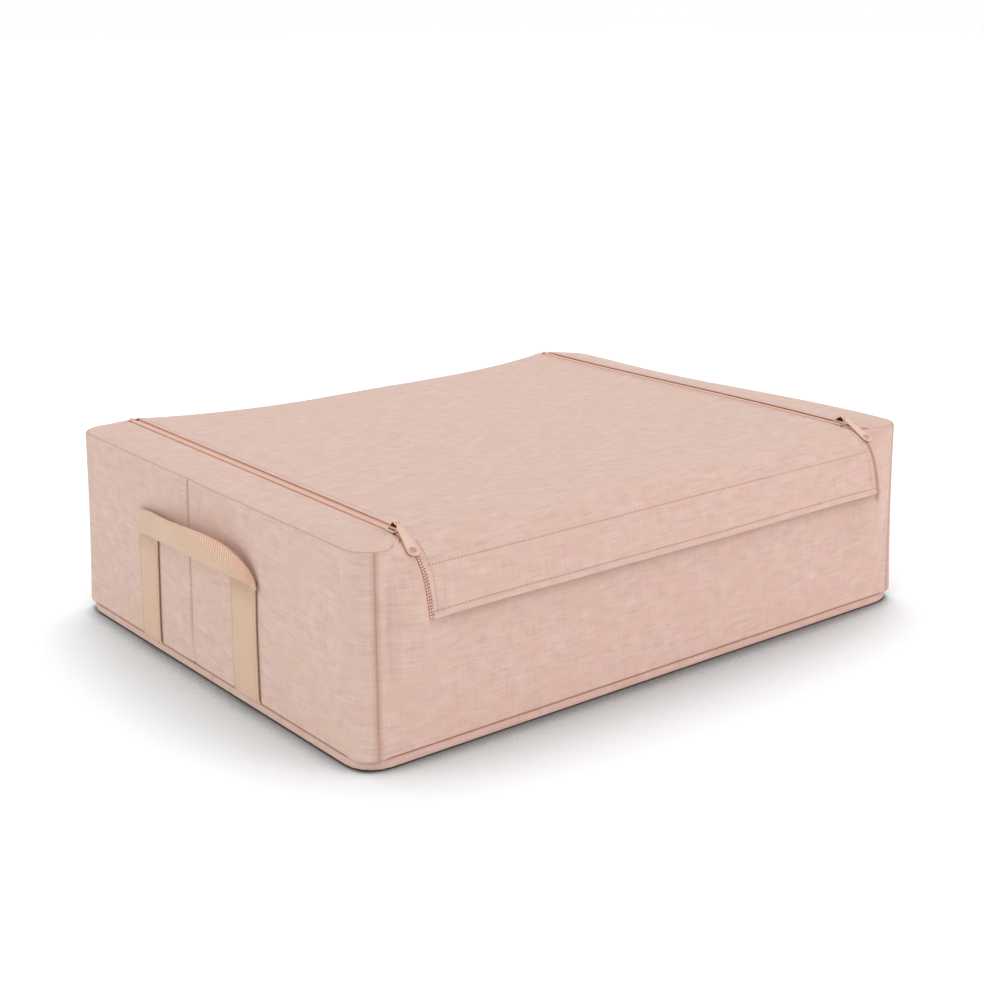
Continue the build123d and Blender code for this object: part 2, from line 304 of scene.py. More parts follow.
class Finish:
    """A material under construction."""

    def __init__(self, name, **constants):
        self.material = bpy.data.materials.new(name)
        self.material.use_nodes = True
        self.tree = self.material.node_tree
        self.shader = self.tree.nodes["Principled BSDF"]
        for socket, value in constants.items():
            self.shader.inputs[socket.replace("_", " ").title().replace("Ior", "IOR")].default_value = value

    def node(self, kind, settings=None, sockets=None):
        """A node of this material."""
        return add_node(self.tree, kind, settings, sockets)

    def parts(self, vector):
        """The numbers of a vector."""
        split = self.node("ShaderNodeSeparateXYZ", None, {0: vector})
        return [Value(self, socket) for socket in split.outputs]

    def cut(self):
        """Place on the flat cut of a sheet, in millimetres."""
        across, along, _ = self.parts(self.node("ShaderNodeUVMap", {"uv_map": "cut"}).outputs[0])
        return across * 1000.0, along * 1000.0

    def place(self):
        """Place on the whole object, in millimetres."""
        return [part * 1000.0 for part in self.parts(self.node("ShaderNodeTexCoord").outputs["Object"])]

    def attribute(self, name):
        """A number that the mesh carries."""
        return Value(self, self.node("ShaderNodeAttribute", {"attribute_name": name}).outputs["Fac"])

    def noise(self, a, b, c=0.0, detail=2.0):
        """Smooth noise over up to three numbers, about 0.5."""
        where = self.node("ShaderNodeCombineXYZ", None, {0: a, 1: b, 2: c}).outputs[0]
        sizes = {"Vector": where, "Scale": 1.0, "Detail": detail, "Roughness": 0.5}
        return Value(self, self.node("ShaderNodeTexNoise", None, sizes).outputs[0])

    def grain(self, per_mm, detail=2.0):
        """Smooth noise through the whole object, about 0.5."""
        return self.noise(*[part * per_mm for part in self.place()], detail=detail)

    def mix(self, share, first, second):
        """One colour over another."""
        made = self.node("ShaderNodeMix", {"data_type": "RGBA"}, {0: share, 6: first, 7: second})
        return made.outputs[2]

    def occlusion(self, reach):
        """How open the surface is to its surroundings within reach."""
        made = self.node("ShaderNodeAmbientOcclusion", {"samples": 8}, {"Distance": reach})
        return Value(self, made.outputs["AO"])

    def surface(self, shade, roughness, relief=None, strength=0.0, depth=0.0):
        """Colour, roughness and relief of the surface."""
        feed(self.tree, self.shader.inputs["Base Color"], shade)
        feed(self.tree, self.shader.inputs["Roughness"], roughness)
        if relief is not None:
            bump = {"Strength": strength, "Distance": depth, "Height": relief}
            feed(self.tree, self.shader.inputs["Normal"], self.node("ShaderNodeBump", None, bump).outputs[0])
        return self.material


def linen_finish(colours):
    """Heathered cloth: slubby threads both ways, soft patches, darker beside seams."""
    finish = Finish("linen_cloth", sheen_weight=0.12, sheen_roughness=0.6)
    u, v = finish.cut()
    warp = finish.noise(u * 0.95, v * 0.045, 3.0)
    weft = finish.noise(u * 0.045, v * 0.95, 9.0)
    warp_slub = (finish.noise(u * 0.36, v * 0.03, 14.0) - 0.5) * 0.26
    slub = warp_slub + (finish.noise(u * 0.04, v * 0.4, 21.0) - 0.5) * 0.62
    speck = finish.noise(u * 0.9, v * 0.9, 2.0)
    patch = finish.noise(u / 42.0, v / 42.0, 5.0)
    cloud = finish.noise(u / 13.0, v / 9.0, 17.0)
    blush = finish.noise(u / 24.0, v / 15.0, 33.0)
    tone = 0.5 + (warp - 0.5) * 0.4 + (weft - 0.5) * 0.62 + slub
    tone = tone + (speck - 0.5) * 0.42 + (cloud - 0.5) * 0.62
    stops = [(0.0, colours.linen_dark), (0.5, colours.linen), (1.0, colours.linen_light)]
    threads = finish.node("ShaderNodeValToRGB", {"stops": stops}, {0: tone}).outputs[0]
    cloth = finish.mix(patch.between(0.42, 0.66) * 0.45, threads, colours.linen_warm)
    cloth = finish.mix(blush.between(0.47, 0.68) * 0.5, cloth, colours.linen_blush)
    # painted shade: the mesh's shade attribute darkens the cloth towards the seam colour
    shaded = finish.mix(finish.attribute("shade"), cloth, colours.seam)
    weave = u.wave(1.7) * v.wave(1.7)
    relief = weave * 0.3 + (warp + weft) * 0.8 + speck * 0.5
    return finish.surface(shaded, 0.86 + (speck - 0.5) * 0.2, relief, 0.25, 0.22 * MM)


def lining_finish(colours):
    """Plain thin cloth with a fine square weave."""
    finish = Finish("lining_cloth", sheen_weight=0.08)
    u, v = finish.cut()
    threads = finish.noise(u * 1.1, v * 0.07, 1.0) + finish.noise(u * 0.07, v * 1.1, 4.0) - 1.0
    patch = finish.noise(u / 60.0, v / 60.0, 8.0)
    base = finish.mix(0.5 + threads * 1.2, scaled(colours.lining, 0.9), colours.lining)
    tone = finish.mix(patch * 0.35, base, scaled(colours.linen_warm, 0.86))
    # painted shade from the mesh's shade attribute
    shaded = finish.mix(finish.attribute("shade"), tone, colours.seam)
    relief = u.wave(1.4) * v.wave(1.4) * 0.5 + threads
    return finish.surface(shaded, 0.85 + threads * 0.1, relief, 0.4, 0.2 * MM)


def webbing_finish(colours, rib):
    """Heavy webbing: ribs across, fine yarns along, a bound edge. A shade below 0 opens the ribs."""
    finish = Finish("webbing", sheen_weight=0.15)
    u, v = finish.cut()
    ribs = v.wave(rib / MM)
    yarns = u.wave(1.6)
    fuzz = finish.noise(u * 1.2, v * 0.5, 1.0)
    patch = finish.noise(u / 18.0, v / 30.0, 6.0)
    shade = finish.attribute("shade")
    # below 0, the shade attribute paints highlights on the ribs where the grip bends towards the light
    rib_highlight_mask = (shade * -1.0).between(0.0, 1.0)
    tone = 0.5 + ribs * 0.1 + (fuzz - 0.5) * 0.7 + (patch - 0.5) * 0.5
    body = finish.mix(tone, scaled(colours.webbing, 0.86), scaled(colours.webbing, 1.1))
    painted_rib_light = finish.mix(0.5 + ribs * 0.7 + yarns * 0.15, colours.webbing_rib_shade, colours.webbing_rib_highlight)
    body = finish.mix(rib_highlight_mask * 0.85, body, painted_rib_light)
    # painted shade along the webbing's edges and below the grip
    shaded = finish.mix(shade, body, colours.webbing_edge_shade)
    return finish.surface(shaded, 0.8 + (fuzz - 0.5) * 0.2, ribs * 0.7 + yarns * 0.25 + fuzz, 0.5, 0.3 * MM)


def tape_finish(colours):
    """Close twill tape."""
    finish = Finish("zip_tape", sheen_weight=0.1)
    u, v = finish.cut()
    twill = (u + v * 0.6).wave(0.9)
    fuzz = finish.noise(u * 2.0, v * 0.6, 3.0)
    tone = 0.5 + twill * 0.12 + (fuzz - 0.5) * 0.8
    body = finish.mix(tone, scaled(colours.tape, 0.84), scaled(colours.tape, 1.1))
    # painted shade from the mesh's shade attribute
    shaded = finish.mix(finish.attribute("shade"), body, colours.seam)
    return finish.surface(shaded, 0.78 + (fuzz - 0.5) * 0.2, twill * 0.6 + fuzz, 0.4, 0.15 * MM)


def coil_finish(colours):
    """Moulded nylon, slightly shiny, with small differences from turn to turn."""
    finish = Finish("zip_coil", coat_weight=0.1)
    x, y, z = finish.place()
    turn = finish.noise(x * 0.3, y * 0.45, z * 0.45)
    body = finish.mix(turn, scaled(colours.coil, 0.86), colours.coil)
    return finish.surface(body, 0.42 + (turn - 0.5) * 0.3, finish.grain(2.0), 0.1, 0.1 * MM)


def enamel_finish(colours):
    """Thick glossy paint on cast metal, a little thinner where it is handled."""
    finish = Finish("zip_enamel", coat_weight=0.5, coat_roughness=0.12)
    cloud, fine = finish.grain(0.18), finish.grain(1.6)
    body = finish.mix(cloud, scaled(colours.enamel, 0.94), scaled(colours.enamel, 1.03))
    worn = finish.mix(fine.between(0.66, 0.74) * 0.25, body, colours.seam)
    return finish.surface(worn, 0.3 + (fine - 0.5) * 0.2, fine * 0.4 + cloud, 0.12, 0.2 * MM)


def slider_shade_finish():
    """Bare dark metal inside the slider."""
    finish = Finish("zip_throat", metallic=0.6)
    grain = finish.grain(1.2)
    return finish.surface(finish.mix(grain, tint(26, 12, 8), tint(52, 30, 22)), 0.5 + (grain - 0.5) * 0.3)


def thread_finish(name, shade):
    """Twisted sewing thread."""
    finish = Finish(name, sheen_weight=0.2)
    x, y, z = finish.place()
    ply = (x + y + z * 1.4).wave(0.9)
    fuzz = finish.grain(1.5)
    body = finish.mix(0.5 + ply * 0.2 + (fuzz - 0.5), scaled(shade, 0.75), scaled(shade, 1.25))
    return finish.surface(body, 0.7 + (fuzz - 0.5) * 0.2, ply + fuzz, 0.3, 0.1 * MM)


def board_finish(colours):
    """Grey board with pressed fibres."""
    finish = Finish("stiffener_board")
    fibre, fleck = finish.grain(0.5, detail=4.0), finish.grain(1.8)
    body = finish.mix(fibre, scaled(colours.board, 0.8), scaled(colours.board, 1.15))
    flecked = finish.mix(fleck.between(0.62, 0.7) * 0.4, body, tint(120, 100, 80))
    return finish.surface(flecked, 0.88 + (fibre - 0.5) * 0.15, fibre + fleck * 0.4, 0.3, 0.2 * MM)


def floor_finish(colours):
    """Plain white floor that keeps the shadow, deeper where the box nearly meets it."""
    finish = Finish("studio_floor", emission_strength=0.38)
    x, y, _ = finish.place()
    mottle = finish.noise(x / 400.0, y / 400.0)
    # painted shadow: occlusion near the box darkens the floor's colour and its glow, more where the box
    # nearly touches it
    around, touch = finish.occlusion(0.36), finish.occlusion(0.03)
    open_floor = around.between(0.42, 0.97) ** 0.4 * (0.2 + 0.8 * touch.between(0.42, 0.68))
    white = finish.mix(mottle * 0.04, colours.floor, scaled(colours.floor, 0.97))
    # only camera rays see the glow and the painted shadow; other rays see plain white
    seen = Value(finish, finish.node("ShaderNodeLightPath").outputs["Is Camera Ray"])
    glow = finish.mix(seen * open_floor, tint(0, 0, 0), white)
    feed(finish.tree, finish.shader.inputs["Emission Color"], glow)
    shadow = finish.mix(1.0 - seen * (1.0 - open_floor), tint(66, 70, 73), white)
    return finish.surface(shadow, 0.6 + (mottle - 0.5) * 0.1)


# --------------------------------------------------------------- mesh helpers
FINISHES = {}


def finished(name):
    """The material of that name, made once."""
    scene = bpy.context.scene
    colours, shape = scene.box_colours, scene.box_shape
    recipes = {
        "linen_cloth": lambda: linen_finish(colours),
        "lining_cloth": lambda: lining_finish(colours),
        "webbing": lambda: webbing_finish(colours, shape.rib_pitch),
        "zip_tape": lambda: tape_finish(colours),
        "zip_coil": lambda: coil_finish(colours),
        "zip_enamel": lambda: enamel_finish(colours),
        "zip_throat": slider_shade_finish,
        "seam_thread": lambda: thread_finish("seam_thread", colours.seam),
        "stitch_thread": lambda: thread_finish("stitch_thread", colours.stitch),
        "cloth_thread": lambda: thread_finish("cloth_thread", colours.linen_dark),
        "stiffener_board": lambda: board_finish(colours),
        "studio_floor": lambda: floor_finish(colours),
    }
    if name not in FINISHES:
        FINISHES[name] = recipes[name]()
    return FINISHES[name]


def linked(name, data):
    """An object at the origin for a mesh, a curve, a lamp or a camera."""
    made = bpy.data.objects.new(name, data)
    bpy.context.scene.collection.objects.link(made)
    return made


def set_finish(mesh, finish):
    """Give a mesh one material."""
    mesh.materials.clear()
    mesh.materials.append(finished(finish))


def smooth(mesh):
    """Shade a mesh smoothly."""
    mesh.polygons.foreach_set("use_smooth", [True] * len(mesh.polygons))
    mesh.update()


def new_mesh(name, verts, faces):
    """A smooth mesh."""
    mesh = bpy.data.meshes.new(name)
    mesh.from_pydata(verts, [], faces)
    smooth(mesh)
    return mesh


def add(name, mesh, finish):
    """An object for a mesh, with its material."""
    set_finish(mesh, finish)
    return linked(name, mesh)


def soften(piece, width, segments, degrees):
    """Round the edges that are sharper than an angle."""
    soft = piece.modifiers.new("soft_edge", "BEVEL")
    soft.width = width
    soft.segments = segments
    soft.limit_method = "ANGLE"
    soft.angle_limit = math.radians(degrees)
    return soft


def sheet_grid(name, columns, rows, place, finish, thickness, edge=0.35 * MM, keep=None, flip=False):
    """A sheet from a grid: place(column, row) gives a point, its spot on the flat cut and its darkness."""
    spots = [place(column, row) for row in rows for column in columns]
    wide = len(columns)
    faces = []
    for j in range(len(rows) - 1):
        for i in range(wide - 1):
            if keep is None or keep((columns[i] + columns[i + 1]) / 2, (rows[j] + rows[j + 1]) / 2):
                corner = j * wide + i
                ring = (corner, corner + 1, corner + wide + 1, corner + wide)
                faces.append(ring[::-1] if flip else ring)
    used = sorted({index for ring in faces for index in ring})
    order = {index: position for position, index in enumerate(used)}
    spots = [spots[index] for index in used]
    mesh = new_mesh(name, [spot[0] for spot in spots], [[order[index] for index in ring] for ring in faces])
    flat = mesh.uv_layers.new(name="cut")
    for loop in mesh.loops:
        flat.data[loop.index].uv = spots[loop.vertex_index][1]
    shade = mesh.attributes.new("shade", "FLOAT", "POINT")
    shade.data.foreach_set("value", [spot[2] for spot in spots])
    piece = add(name, mesh, finish)
    solid = piece.modifiers.new("thickness", "SOLIDIFY")
    solid.thickness = thickness
    solid.offset = -1.0
    if edge:
        soften(piece, edge, 2, 60).use_clamp_overlap = True
    return piece


def evaluated(piece):
    """The mesh of a piece with its modifiers applied."""
    graph = bpy.context.evaluated_depsgraph_get()
    return bpy.data.meshes.new_from_object(piece.evaluated_get(graph), depsgraph=graph)


def plain(piece, name):
    """The curve piece as it is evaluated, as a plain mesh."""
    mesh = evaluated(piece)
    mesh.name = name
    curve = piece.data
    bpy.data.objects.remove(piece)
    bpy.data.curves.remove(curve)
    return linked(name, mesh)


def paths_object(name, paths):
    """A curve object of straight-run paths."""
    curve = bpy.data.curves.new(name, "CURVE")
    curve.dimensions = "3D"
    for path in paths:
        spline = curve.splines.new("POLY")
        spline.points.add(len(path) - 1)
        for point, spot in zip(spline.points, path):
            point.co = (*spot, 1.0)
    return linked(name + "_path", curve)


def thread_line(name, paths, radius, finish, steps=1):
    """Round thread or bar lying along paths."""
    piece = paths_object(name, paths)
    piece.data.bevel_depth = radius
    piece.data.bevel_resolution = steps
    piece.data.use_fill_caps = True
    made = plain(piece, name)
    set_finish(made.data, finish)
    smooth(made.data)
    return made


def repeat_tree():
    """Nodes that set one small rounded shape along every path, evenly."""
    known = bpy.data.node_groups.get("rounded_shapes_along_path")
    if known:
        return known
    tree = bpy.data.node_groups.new("rounded_shapes_along_path", "GeometryNodeTree")
    face = tree.interface
    face.new_socket("Paths", in_out="INPUT", socket_type="NodeSocketGeometry")
    sizes = {"Pitch": 2.5 * MM, "Length": 2 * MM, "Width": 1 * MM, "Height": 1 * MM, "Unevenness": 0.06}
    for name, default in sizes.items():
        face.new_socket(name, in_out="INPUT", socket_type="NodeSocketFloat").default_value = default
    face.new_socket("Segments", in_out="INPUT", socket_type="NodeSocketInt").default_value = 8
    face.new_socket("Finish", in_out="INPUT", socket_type="NodeSocketMaterial")
    face.new_socket("Shapes", in_out="OUTPUT", socket_type="NodeSocketGeometry")

    def node(kind, links=None, **settings):
        return add_node(tree, kind, settings, links)

    given = node("NodeGroupInput").outputs
    path = {"Curve": given["Paths"], "Length": given["Pitch"]}
    spots = node("GeometryNodeCurveToPoints", path, mode="LENGTH")
    ball = node("GeometryNodeMeshUVSphere", {"Segments": given["Segments"], "Rings": 5, "Radius": 0.5})
    size = node("ShaderNodeCombineXYZ", {0: given["Width"], 1: given["Length"], 2: given["Height"]})
    shaped = node("GeometryNodeTransform", {"Geometry": ball.outputs[0], "Scale": size.outputs[0]})
    turn = node("FunctionNodeAlignRotationToVector", {"Vector": spots.outputs["Tangent"]}, axis="Y")
    share = {0: 1.0, 1: given["Unevenness"]}
    low, high = [node("ShaderNodeMath", share, operation=way).outputs[0] for way in ("SUBTRACT", "ADD")]
    vary = node("FunctionNodeRandomValue", {2: low, 3: high, "Seed": 4}, data_type="FLOAT")
    set_out = {"Points": spots.outputs["Points"], "Instance": shaped.outputs[0]}
    set_out |= {"Rotation": turn.outputs[0], "Scale": vary.outputs[1]}
    placed = node("GeometryNodeInstanceOnPoints", set_out)
    smooth = node("GeometryNodeSetShadeSmooth", {"Geometry": placed.outputs[0]})
    real = node("GeometryNodeRealizeInstances", {"Geometry": smooth.outputs[0]})
    coloured = node("GeometryNodeSetMaterial", {"Geometry": real.outputs[0], "Material": given["Finish"]})
    node("NodeGroupOutput", {0: coloured.outputs[0]})
    return tree


def lay_along(name, paths, finish, **sizes):
    """Stitches or coil turns along paths, as a plain mesh."""
    piece = paths_object(name, paths)
    nodes = piece.modifiers.new("repeat", "NODES")
    nodes.node_group = repeat_tree()
    for socket in nodes.node_group.interface.items_tree:
        if socket.in_out == "INPUT" and socket.name in sizes:
            nodes[socket.identifier] = sizes[socket.name]
        if socket.name == "Finish":
            nodes[socket.identifier] = finished(finish)
    return plain(piece, name)


def stitches(name, paths, body, finish="cloth_thread", pitch=None):
    """Lines of stitches half sunk in the cloth of a body."""
    pitch = pitch or bpy.context.scene.box_shape.stitch_pitch
    sizes = {"Pitch": pitch, "Length": pitch * 0.6, "Width": 0.8 * MM, "Height": 0.6 * MM, "Segments": 6}
    piece = lay_along(name, paths, finish, **sizes)
    declare(piece, body=body)
    return piece


# ------------------------------------------------------------- the box's shape
def outline(s):
    """Point and outward direction on the body's plan outline, s along it from the front's left flat end."""
    s %= PERIMETER
    corners = (
        (FLAT_X, -FLAT_Y, -90, 2 * FLAT_X),
        (FLAT_X, FLAT_Y, 0, 2 * FLAT_Y),
        (-FLAT_X, FLAT_Y, 90, 2 * FLAT_X),
        (-FLAT_X, -FLAT_Y, 180, 2 * FLAT_Y),
    )
    for x, y, turn, run in corners:
        angle = math.radians(turn)
        if s <= run:
            nx, ny = math.cos(angle), math.sin(angle)
            left = run - s
            return x + CORNER * nx + ny * left, y + CORNER * ny - nx * left, nx, ny
        s -= run
        if s <= ARC:
            angle += s / CORNER
            nx, ny = math.cos(angle), math.sin(angle)
            return x + CORNER * nx, y + CORNER * ny, nx, ny
        s -= ARC
    return -FLAT_X, -HALF_DEPTH, 0.0, -1.0


FRONT_END = 2 * FLAT_X
RIGHT_END = FRONT_END + ARC + 2 * FLAT_Y + ARC
BACK_END = RIGHT_END + 2 * FLAT_X
WALLS = {
    "front": (-SEAM_ARC, FRONT_END + SEAM_ARC),
    "right": (FRONT_END + SEAM_ARC, RIGHT_END - SEAM_ARC),
    "back": (RIGHT_END - SEAM_ARC, BACK_END + SEAM_ARC),
    "left": (BACK_END + SEAM_ARC, PERIMETER - SEAM_ARC),
}
CREASES = {"right": FRONT_END + ARC + FLAT_Y + CREASE_Y, "left": BACK_END + ARC + FLAT_Y - CREASE_Y}


def zip_side(x):
    """0 at the flat end of the front, 1 from the top strip's inner edge inwards."""
    return within((FLAT_X - abs(x)) / (FLAT_X - STRIP_X))


def run_profile():
    """The lid's front end and the flap in side view, point by point: y, z and droop."""
    y, z, run = FOLD_Y, TOP, 0.0
    spots = []
    while z > FLAP_END_Z:
        droop = math.radians(77.0) * ease((run - 35 * MM) / (72 * MM))
        spots.append((y, z, droop))
        y -= STEP * math.cos(droop)
        z -= STEP * math.sin(droop)
        run += STEP
    return spots


FLAP_END_Z = 114.5 * MM  # the flap ends at this height
PROFILE = run_profile()
FLAP_RUN = (len(PROFILE) - 1) * STEP
SEAM_RUN = 58 * MM  # beside the zip, the top seam lies this far down the rim
FOOT_RUN = FLAP_RUN - 2 * MM  # the fixed side of the zip ends here


def side_spot(run, out=0.0):
    """y and z at a distance down the flap's profile, and out above it."""
    place = min(len(PROFILE) - 1.001, max(0.0, run / STEP))
    low = int(place)
    share = place - low
    y, z, droop = [a + (b - a) * share for a, b in zip(PROFILE[low], PROFILE[low + 1])]
    return y - out * math.sin(droop), z + out * math.cos(droop), droop


# The profile passes the front wall's plane here
CROSS_RUN = next(k for k, spot in enumerate(PROFILE) if spot[0] < -HALF_DEPTH) * STEP


def rim_height(y):
    """Height of the profile at a place seen from above."""
    for low, high in zip(PROFILE, PROFILE[1:]):
        if high[0] <= y:
            return low[1] + (high[1] - low[1]) * (y - low[0]) / (high[0] - low[0])
    return PROFILE[-1][1]


def lip_shift(x, z):
    """How far the front's upper edge is pressed back, behind the flap."""
    fade = 10 * MM
    return 4.5 * MM * ease((z - 104 * MM) / fade) * ease((STRIP_X + fade - abs(x)) / fade)


def draw_out(x, z):
    """How far the front wall is drawn forward by the zips, whose lower ends hang clear of it."""
    foot_y, foot_z, _ = side_spot(FOOT_RUN)
    if z > foot_z:
        # halve the run until its spot is at this height
        low, high = FOOT_RUN, SEAM_RUN
        for _ in range(14):
            middle = (low + high) / 2
            low, high = (middle, high) if side_spot(middle)[1] < z else (low, middle)
        amount = max(0.0, -HALF_DEPTH - side_spot(low)[0])
    else:
        slack_z = 30 * MM
        amount = (-HALF_DEPTH - foot_y) * ease((z - slack_z) / (foot_z - slack_z))
    if abs(x) > STRIP_X:
        full, none = STRIP_X + 5 * MM, HALF_LENGTH - 8 * MM
        return amount * within((none - abs(x)) / (none - full)) ** 1.3
    pressed = lip_shift(x, z) if abs(x) < STRIP_X - 2 * MM else 0.0
    return amount * ease(1 - (STRIP_X - abs(x)) / (45 * MM)) - pressed


def front_spot(x, row):
    """y, z and lean of the front wall at a row: 0 to 1 up the wall, 1 to 2 over its upper edge."""
    share = ease(zip_side(x))
    angle = max(0.0, row - 1) * ROUND_TURN
    _, level_z, _ = side_spot(CROSS_RUN)
    if row <= 1:
        z = SEAM_Z + row * (TOP - ROUND + (level_z - TOP + ROUND) * share - SEAM_Z)
        return -HALF_DEPTH - draw_out(x, z), z, 0.0
    y = -HALF_DEPTH + ROUND * (1 - math.cos(angle))
    z = TOP - ROUND + ROUND * math.sin(angle)
    y_zip, z_zip, droop = side_spot(CROSS_RUN + (SEAM_RUN - CROSS_RUN) * (row - 1))
    return y + (y_zip - y) * share, z + (z_zip - z) * share, angle + (math.pi / 2 - droop - angle) * share


def sink(x, y):
    """How far the top has sunk along the right-hand zip, more to the rear."""
    return 4.5 * MM * ease((y + 150 * MM) / (350 * MM)) * ease((x - 30 * MM) / (190 * MM))


def rear_dip(x):
    """How far the rear edge hangs between the zips."""
    share = min(1.0, abs(x) / (LID_X + 4 * MM))
    return bpy.context.scene.box_shape.rear_sag * (1 - share**3) + sink(min(x, STRIP_X), HALF_DEPTH)


def stand_off(side, along, z, crease=None):
    """How far a wall's cloth stands out from the board behind it."""
    shape = bpy.context.scene.box_shape
    half = HALF_LENGTH if side in ("front", "back") else HALF_DEPTH
    swell = shape.long_swell if side in ("front", "back") else shape.side_swell
    up = (z - SEAM_Z) / (TOP - SEAM_Z)
    lift = math.sin(math.pi * within(up)) ** 0.7
    ends = ease((half - abs(along)) / (70 * MM))
    seed = {"front": 1.0, "back": 2.0, "left": 3.0, "right": 4.0}[side]
    out = lift * ends * (swell + ripple(along, z, seed))
    out += shape.foot_spread * (1 - up) ** 2
    if crease is not None:
        fade = 0.45 + 0.55 * ease(up * 2.2)
        out -= fade * shape.crease_depth * bell(crease, 1.3 * MM)
        out -= fade * 0.8 * MM * bell(crease, 10 * MM)
    return out


def side_drop(y):
    """How much lower the right-hand upper edge hangs towards the rear."""
    return 10 * MM * ease((y + 190 * MM) / (330 * MM))


def outer_drop(x, y):
    """The same outside the right-hand zip: from the zip's own sinking to all of it at the corner's start."""
    if x < STRIP_X:
        return 0.0
    own = sink(x, y)
    return own + (side_drop(y) - own) * ease((x - STRIP_X) / (FLAT_X - STRIP_X))


def wall_spot(side, s, row):
    """A point of a wall: row 0 to 1 goes up the flat part, 1 to 2 round the upper edge to the top seam."""
    x, y, nx, ny = outline(s)
    start, end = WALLS[side]
    top = TOP - outer_drop(x, y)
    if side == "back":
        top -= rear_dip(x) if x < STRIP_X else 0.0
    angle = max(0.0, row - 1.0) * ROUND_TURN
    inset = ROUND * (1 - math.cos(angle))
    z = SEAM_Z + min(row, 1.0) * (top - ROUND - SEAM_Z) + ROUND * math.sin(angle)
    if side == "front" and abs(x) < FLAT_X:
        if abs(x) < CUT_X:
            z = SEAM_Z + min(row, 1.0) * (NOTCH_Z + 0.4 * MM - SEAM_Z)
            inset = -draw_out(x, z)
        else:
            y_front, z, angle = front_spot(x, row)
            inset = HALF_DEPTH + y_front
    along = x if side in ("front", "back") else y
    crease = s - CREASES[side] if side in CREASES else None
    out = stand_off(side, along, min(z, TOP), crease)
    up = (z - SEAM_Z) / (TOP - SEAM_Z)
    if abs(x) > FLAT_X and abs(y) > FLAT_Y:
        out += 4.5 * MM * (2 * nx * ny) ** 2 * (1 - up) ** 1.5
    to_top = 1.0 if abs(x) < CUT_X else (2.0 - row) * ROUND * ROUND_TURN
    if side == "front" and zip_side(x) > 0:
        to_top = (2.0 - row) * 30 * MM
    to_foot, to_start, to_end, to_top = [max(0.0, gap) for gap in (z - SEAM_Z, s - start, end - s, to_top)]
    inward = max(tuck(to_foot), tuck(to_top), 0.5 * tuck(to_start), 0.5 * tuck(to_end))
    # painted shade beside the top and bottom seams, at the corner seams and along the crease
    shade = 0.22 * near(min(to_foot, to_top), 1.2 * MM)
    shade = max(shade, 0.5 * bell(min(to_start, to_end), 2.4 * MM))
    if crease is not None:
        wobble = crease + 1.2 * MM * noise.noise(Vector((z / 0.03, 0.0, 9.0)))
        shade = max(shade, (0.16 + 0.24 * ease(up * 3)) * bell(wobble, 1.7 * MM))
    reach = out - inward * math.cos(angle) - inset
    height = z - inward * math.sin(angle)
    return (x + nx * reach, y + ny * reach, height), (s, z + ROUND * angle), shade


def leg_base(side, y, z):
    """How far out the short wall's cloth is at y and z."""
    sign = SIDES[side]
    s = FRONT_END + ARC + FLAT_Y + y if sign > 0 else BACK_END + ARC + FLAT_Y - y
    return HALF_LENGTH + stand_off(side, y, z, s - CREASES[side])


def declare(piece, nodes=(), body=None, flat=None, held=None):
    """Name what a piece stands for and its material, and its flat size if it is a sheet."""
    if nodes:
        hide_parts(*nodes)
    if body:
        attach(piece, body)


# -------------------------------------------------------------------- pieces
def make_base():
    """Base cloth with a soft rolled rim up to the bottom seam, and its seam thread."""
    spread = bpy.context.scene.box_shape.foot_spread
    # in mm, from the middle outwards and up: distance in from the edge, and height
    rings = [(60, 0), (30, 0), (14, 0), (7, 0), (4, 0.1), (2, 0.7), (0.7, 1.9), (0, 3.6), (-0.2, 5.4)]
    rings += [(0, 7.2), (0.5, 8.3), (1.2, 8.9), (1.9, 9.1)]
    count = 260
    columns = [PERIMETER * k / count for k in range(count + 1)]

    def place(s, row):
        inset, z = rings[int(row)]
        x, y, nx, ny = outline(s)
        reach = spread - inset * MM
        if inset > CORNER / MM:
            spot = (x * (1 - inset * MM / HALF_LENGTH), y * (1 - inset * MM / HALF_DEPTH))
            return (*spot, z * MM), spot, 0.0
        # painted shade on the rolled rim, deepest up at the bottom seam
        dark = 0.1 + 0.2 * ease((z - 7.6) / 1.4)
        return (x + nx * reach, y + ny * reach, z * MM), (s, z * MM - inset * MM), dark

    skin = sheet_grid("base_skin", columns, list(range(len(rings))), place, "linen_cloth", 1.0 * MM)
    work = bmesh.new()
    work.from_mesh(skin.data)
    work.verts.ensure_lookup_table()
    middle = work.faces.new([work.verts[k] for k in reversed(range(count))])
    middle.smooth = False
    bmesh.ops.remove_doubles(work, verts=work.verts, dist=1e-6)
    layer = work.loops.layers.uv["cut"]
    for loop in middle.loops:
        loop[layer].uv = loop.vert.co.xy
    bmesh.ops.recalc_face_normals(work, faces=work.faces)
    work.to_mesh(skin.data)
    work.free()
    path = [outline(PERIMETER * k / 400) for k in range(401)]
    reach = spread - 0.5 * MM
    ring = [(x + nx * reach, y + ny * reach, SEAM_Z + 0.1 * MM) for x, y, nx, ny in path]
    seam = thread_line("bottom_seam", [ring], 0.52 * MM, "seam_thread")
    declare(seam, body="box")
    turned_up = 20 * MM
    flat = (2 * HALF_LENGTH + turned_up, 2 * HALF_DEPTH + turned_up)
    declare(skin, ["base_cloth"], "box", flat, "laid")


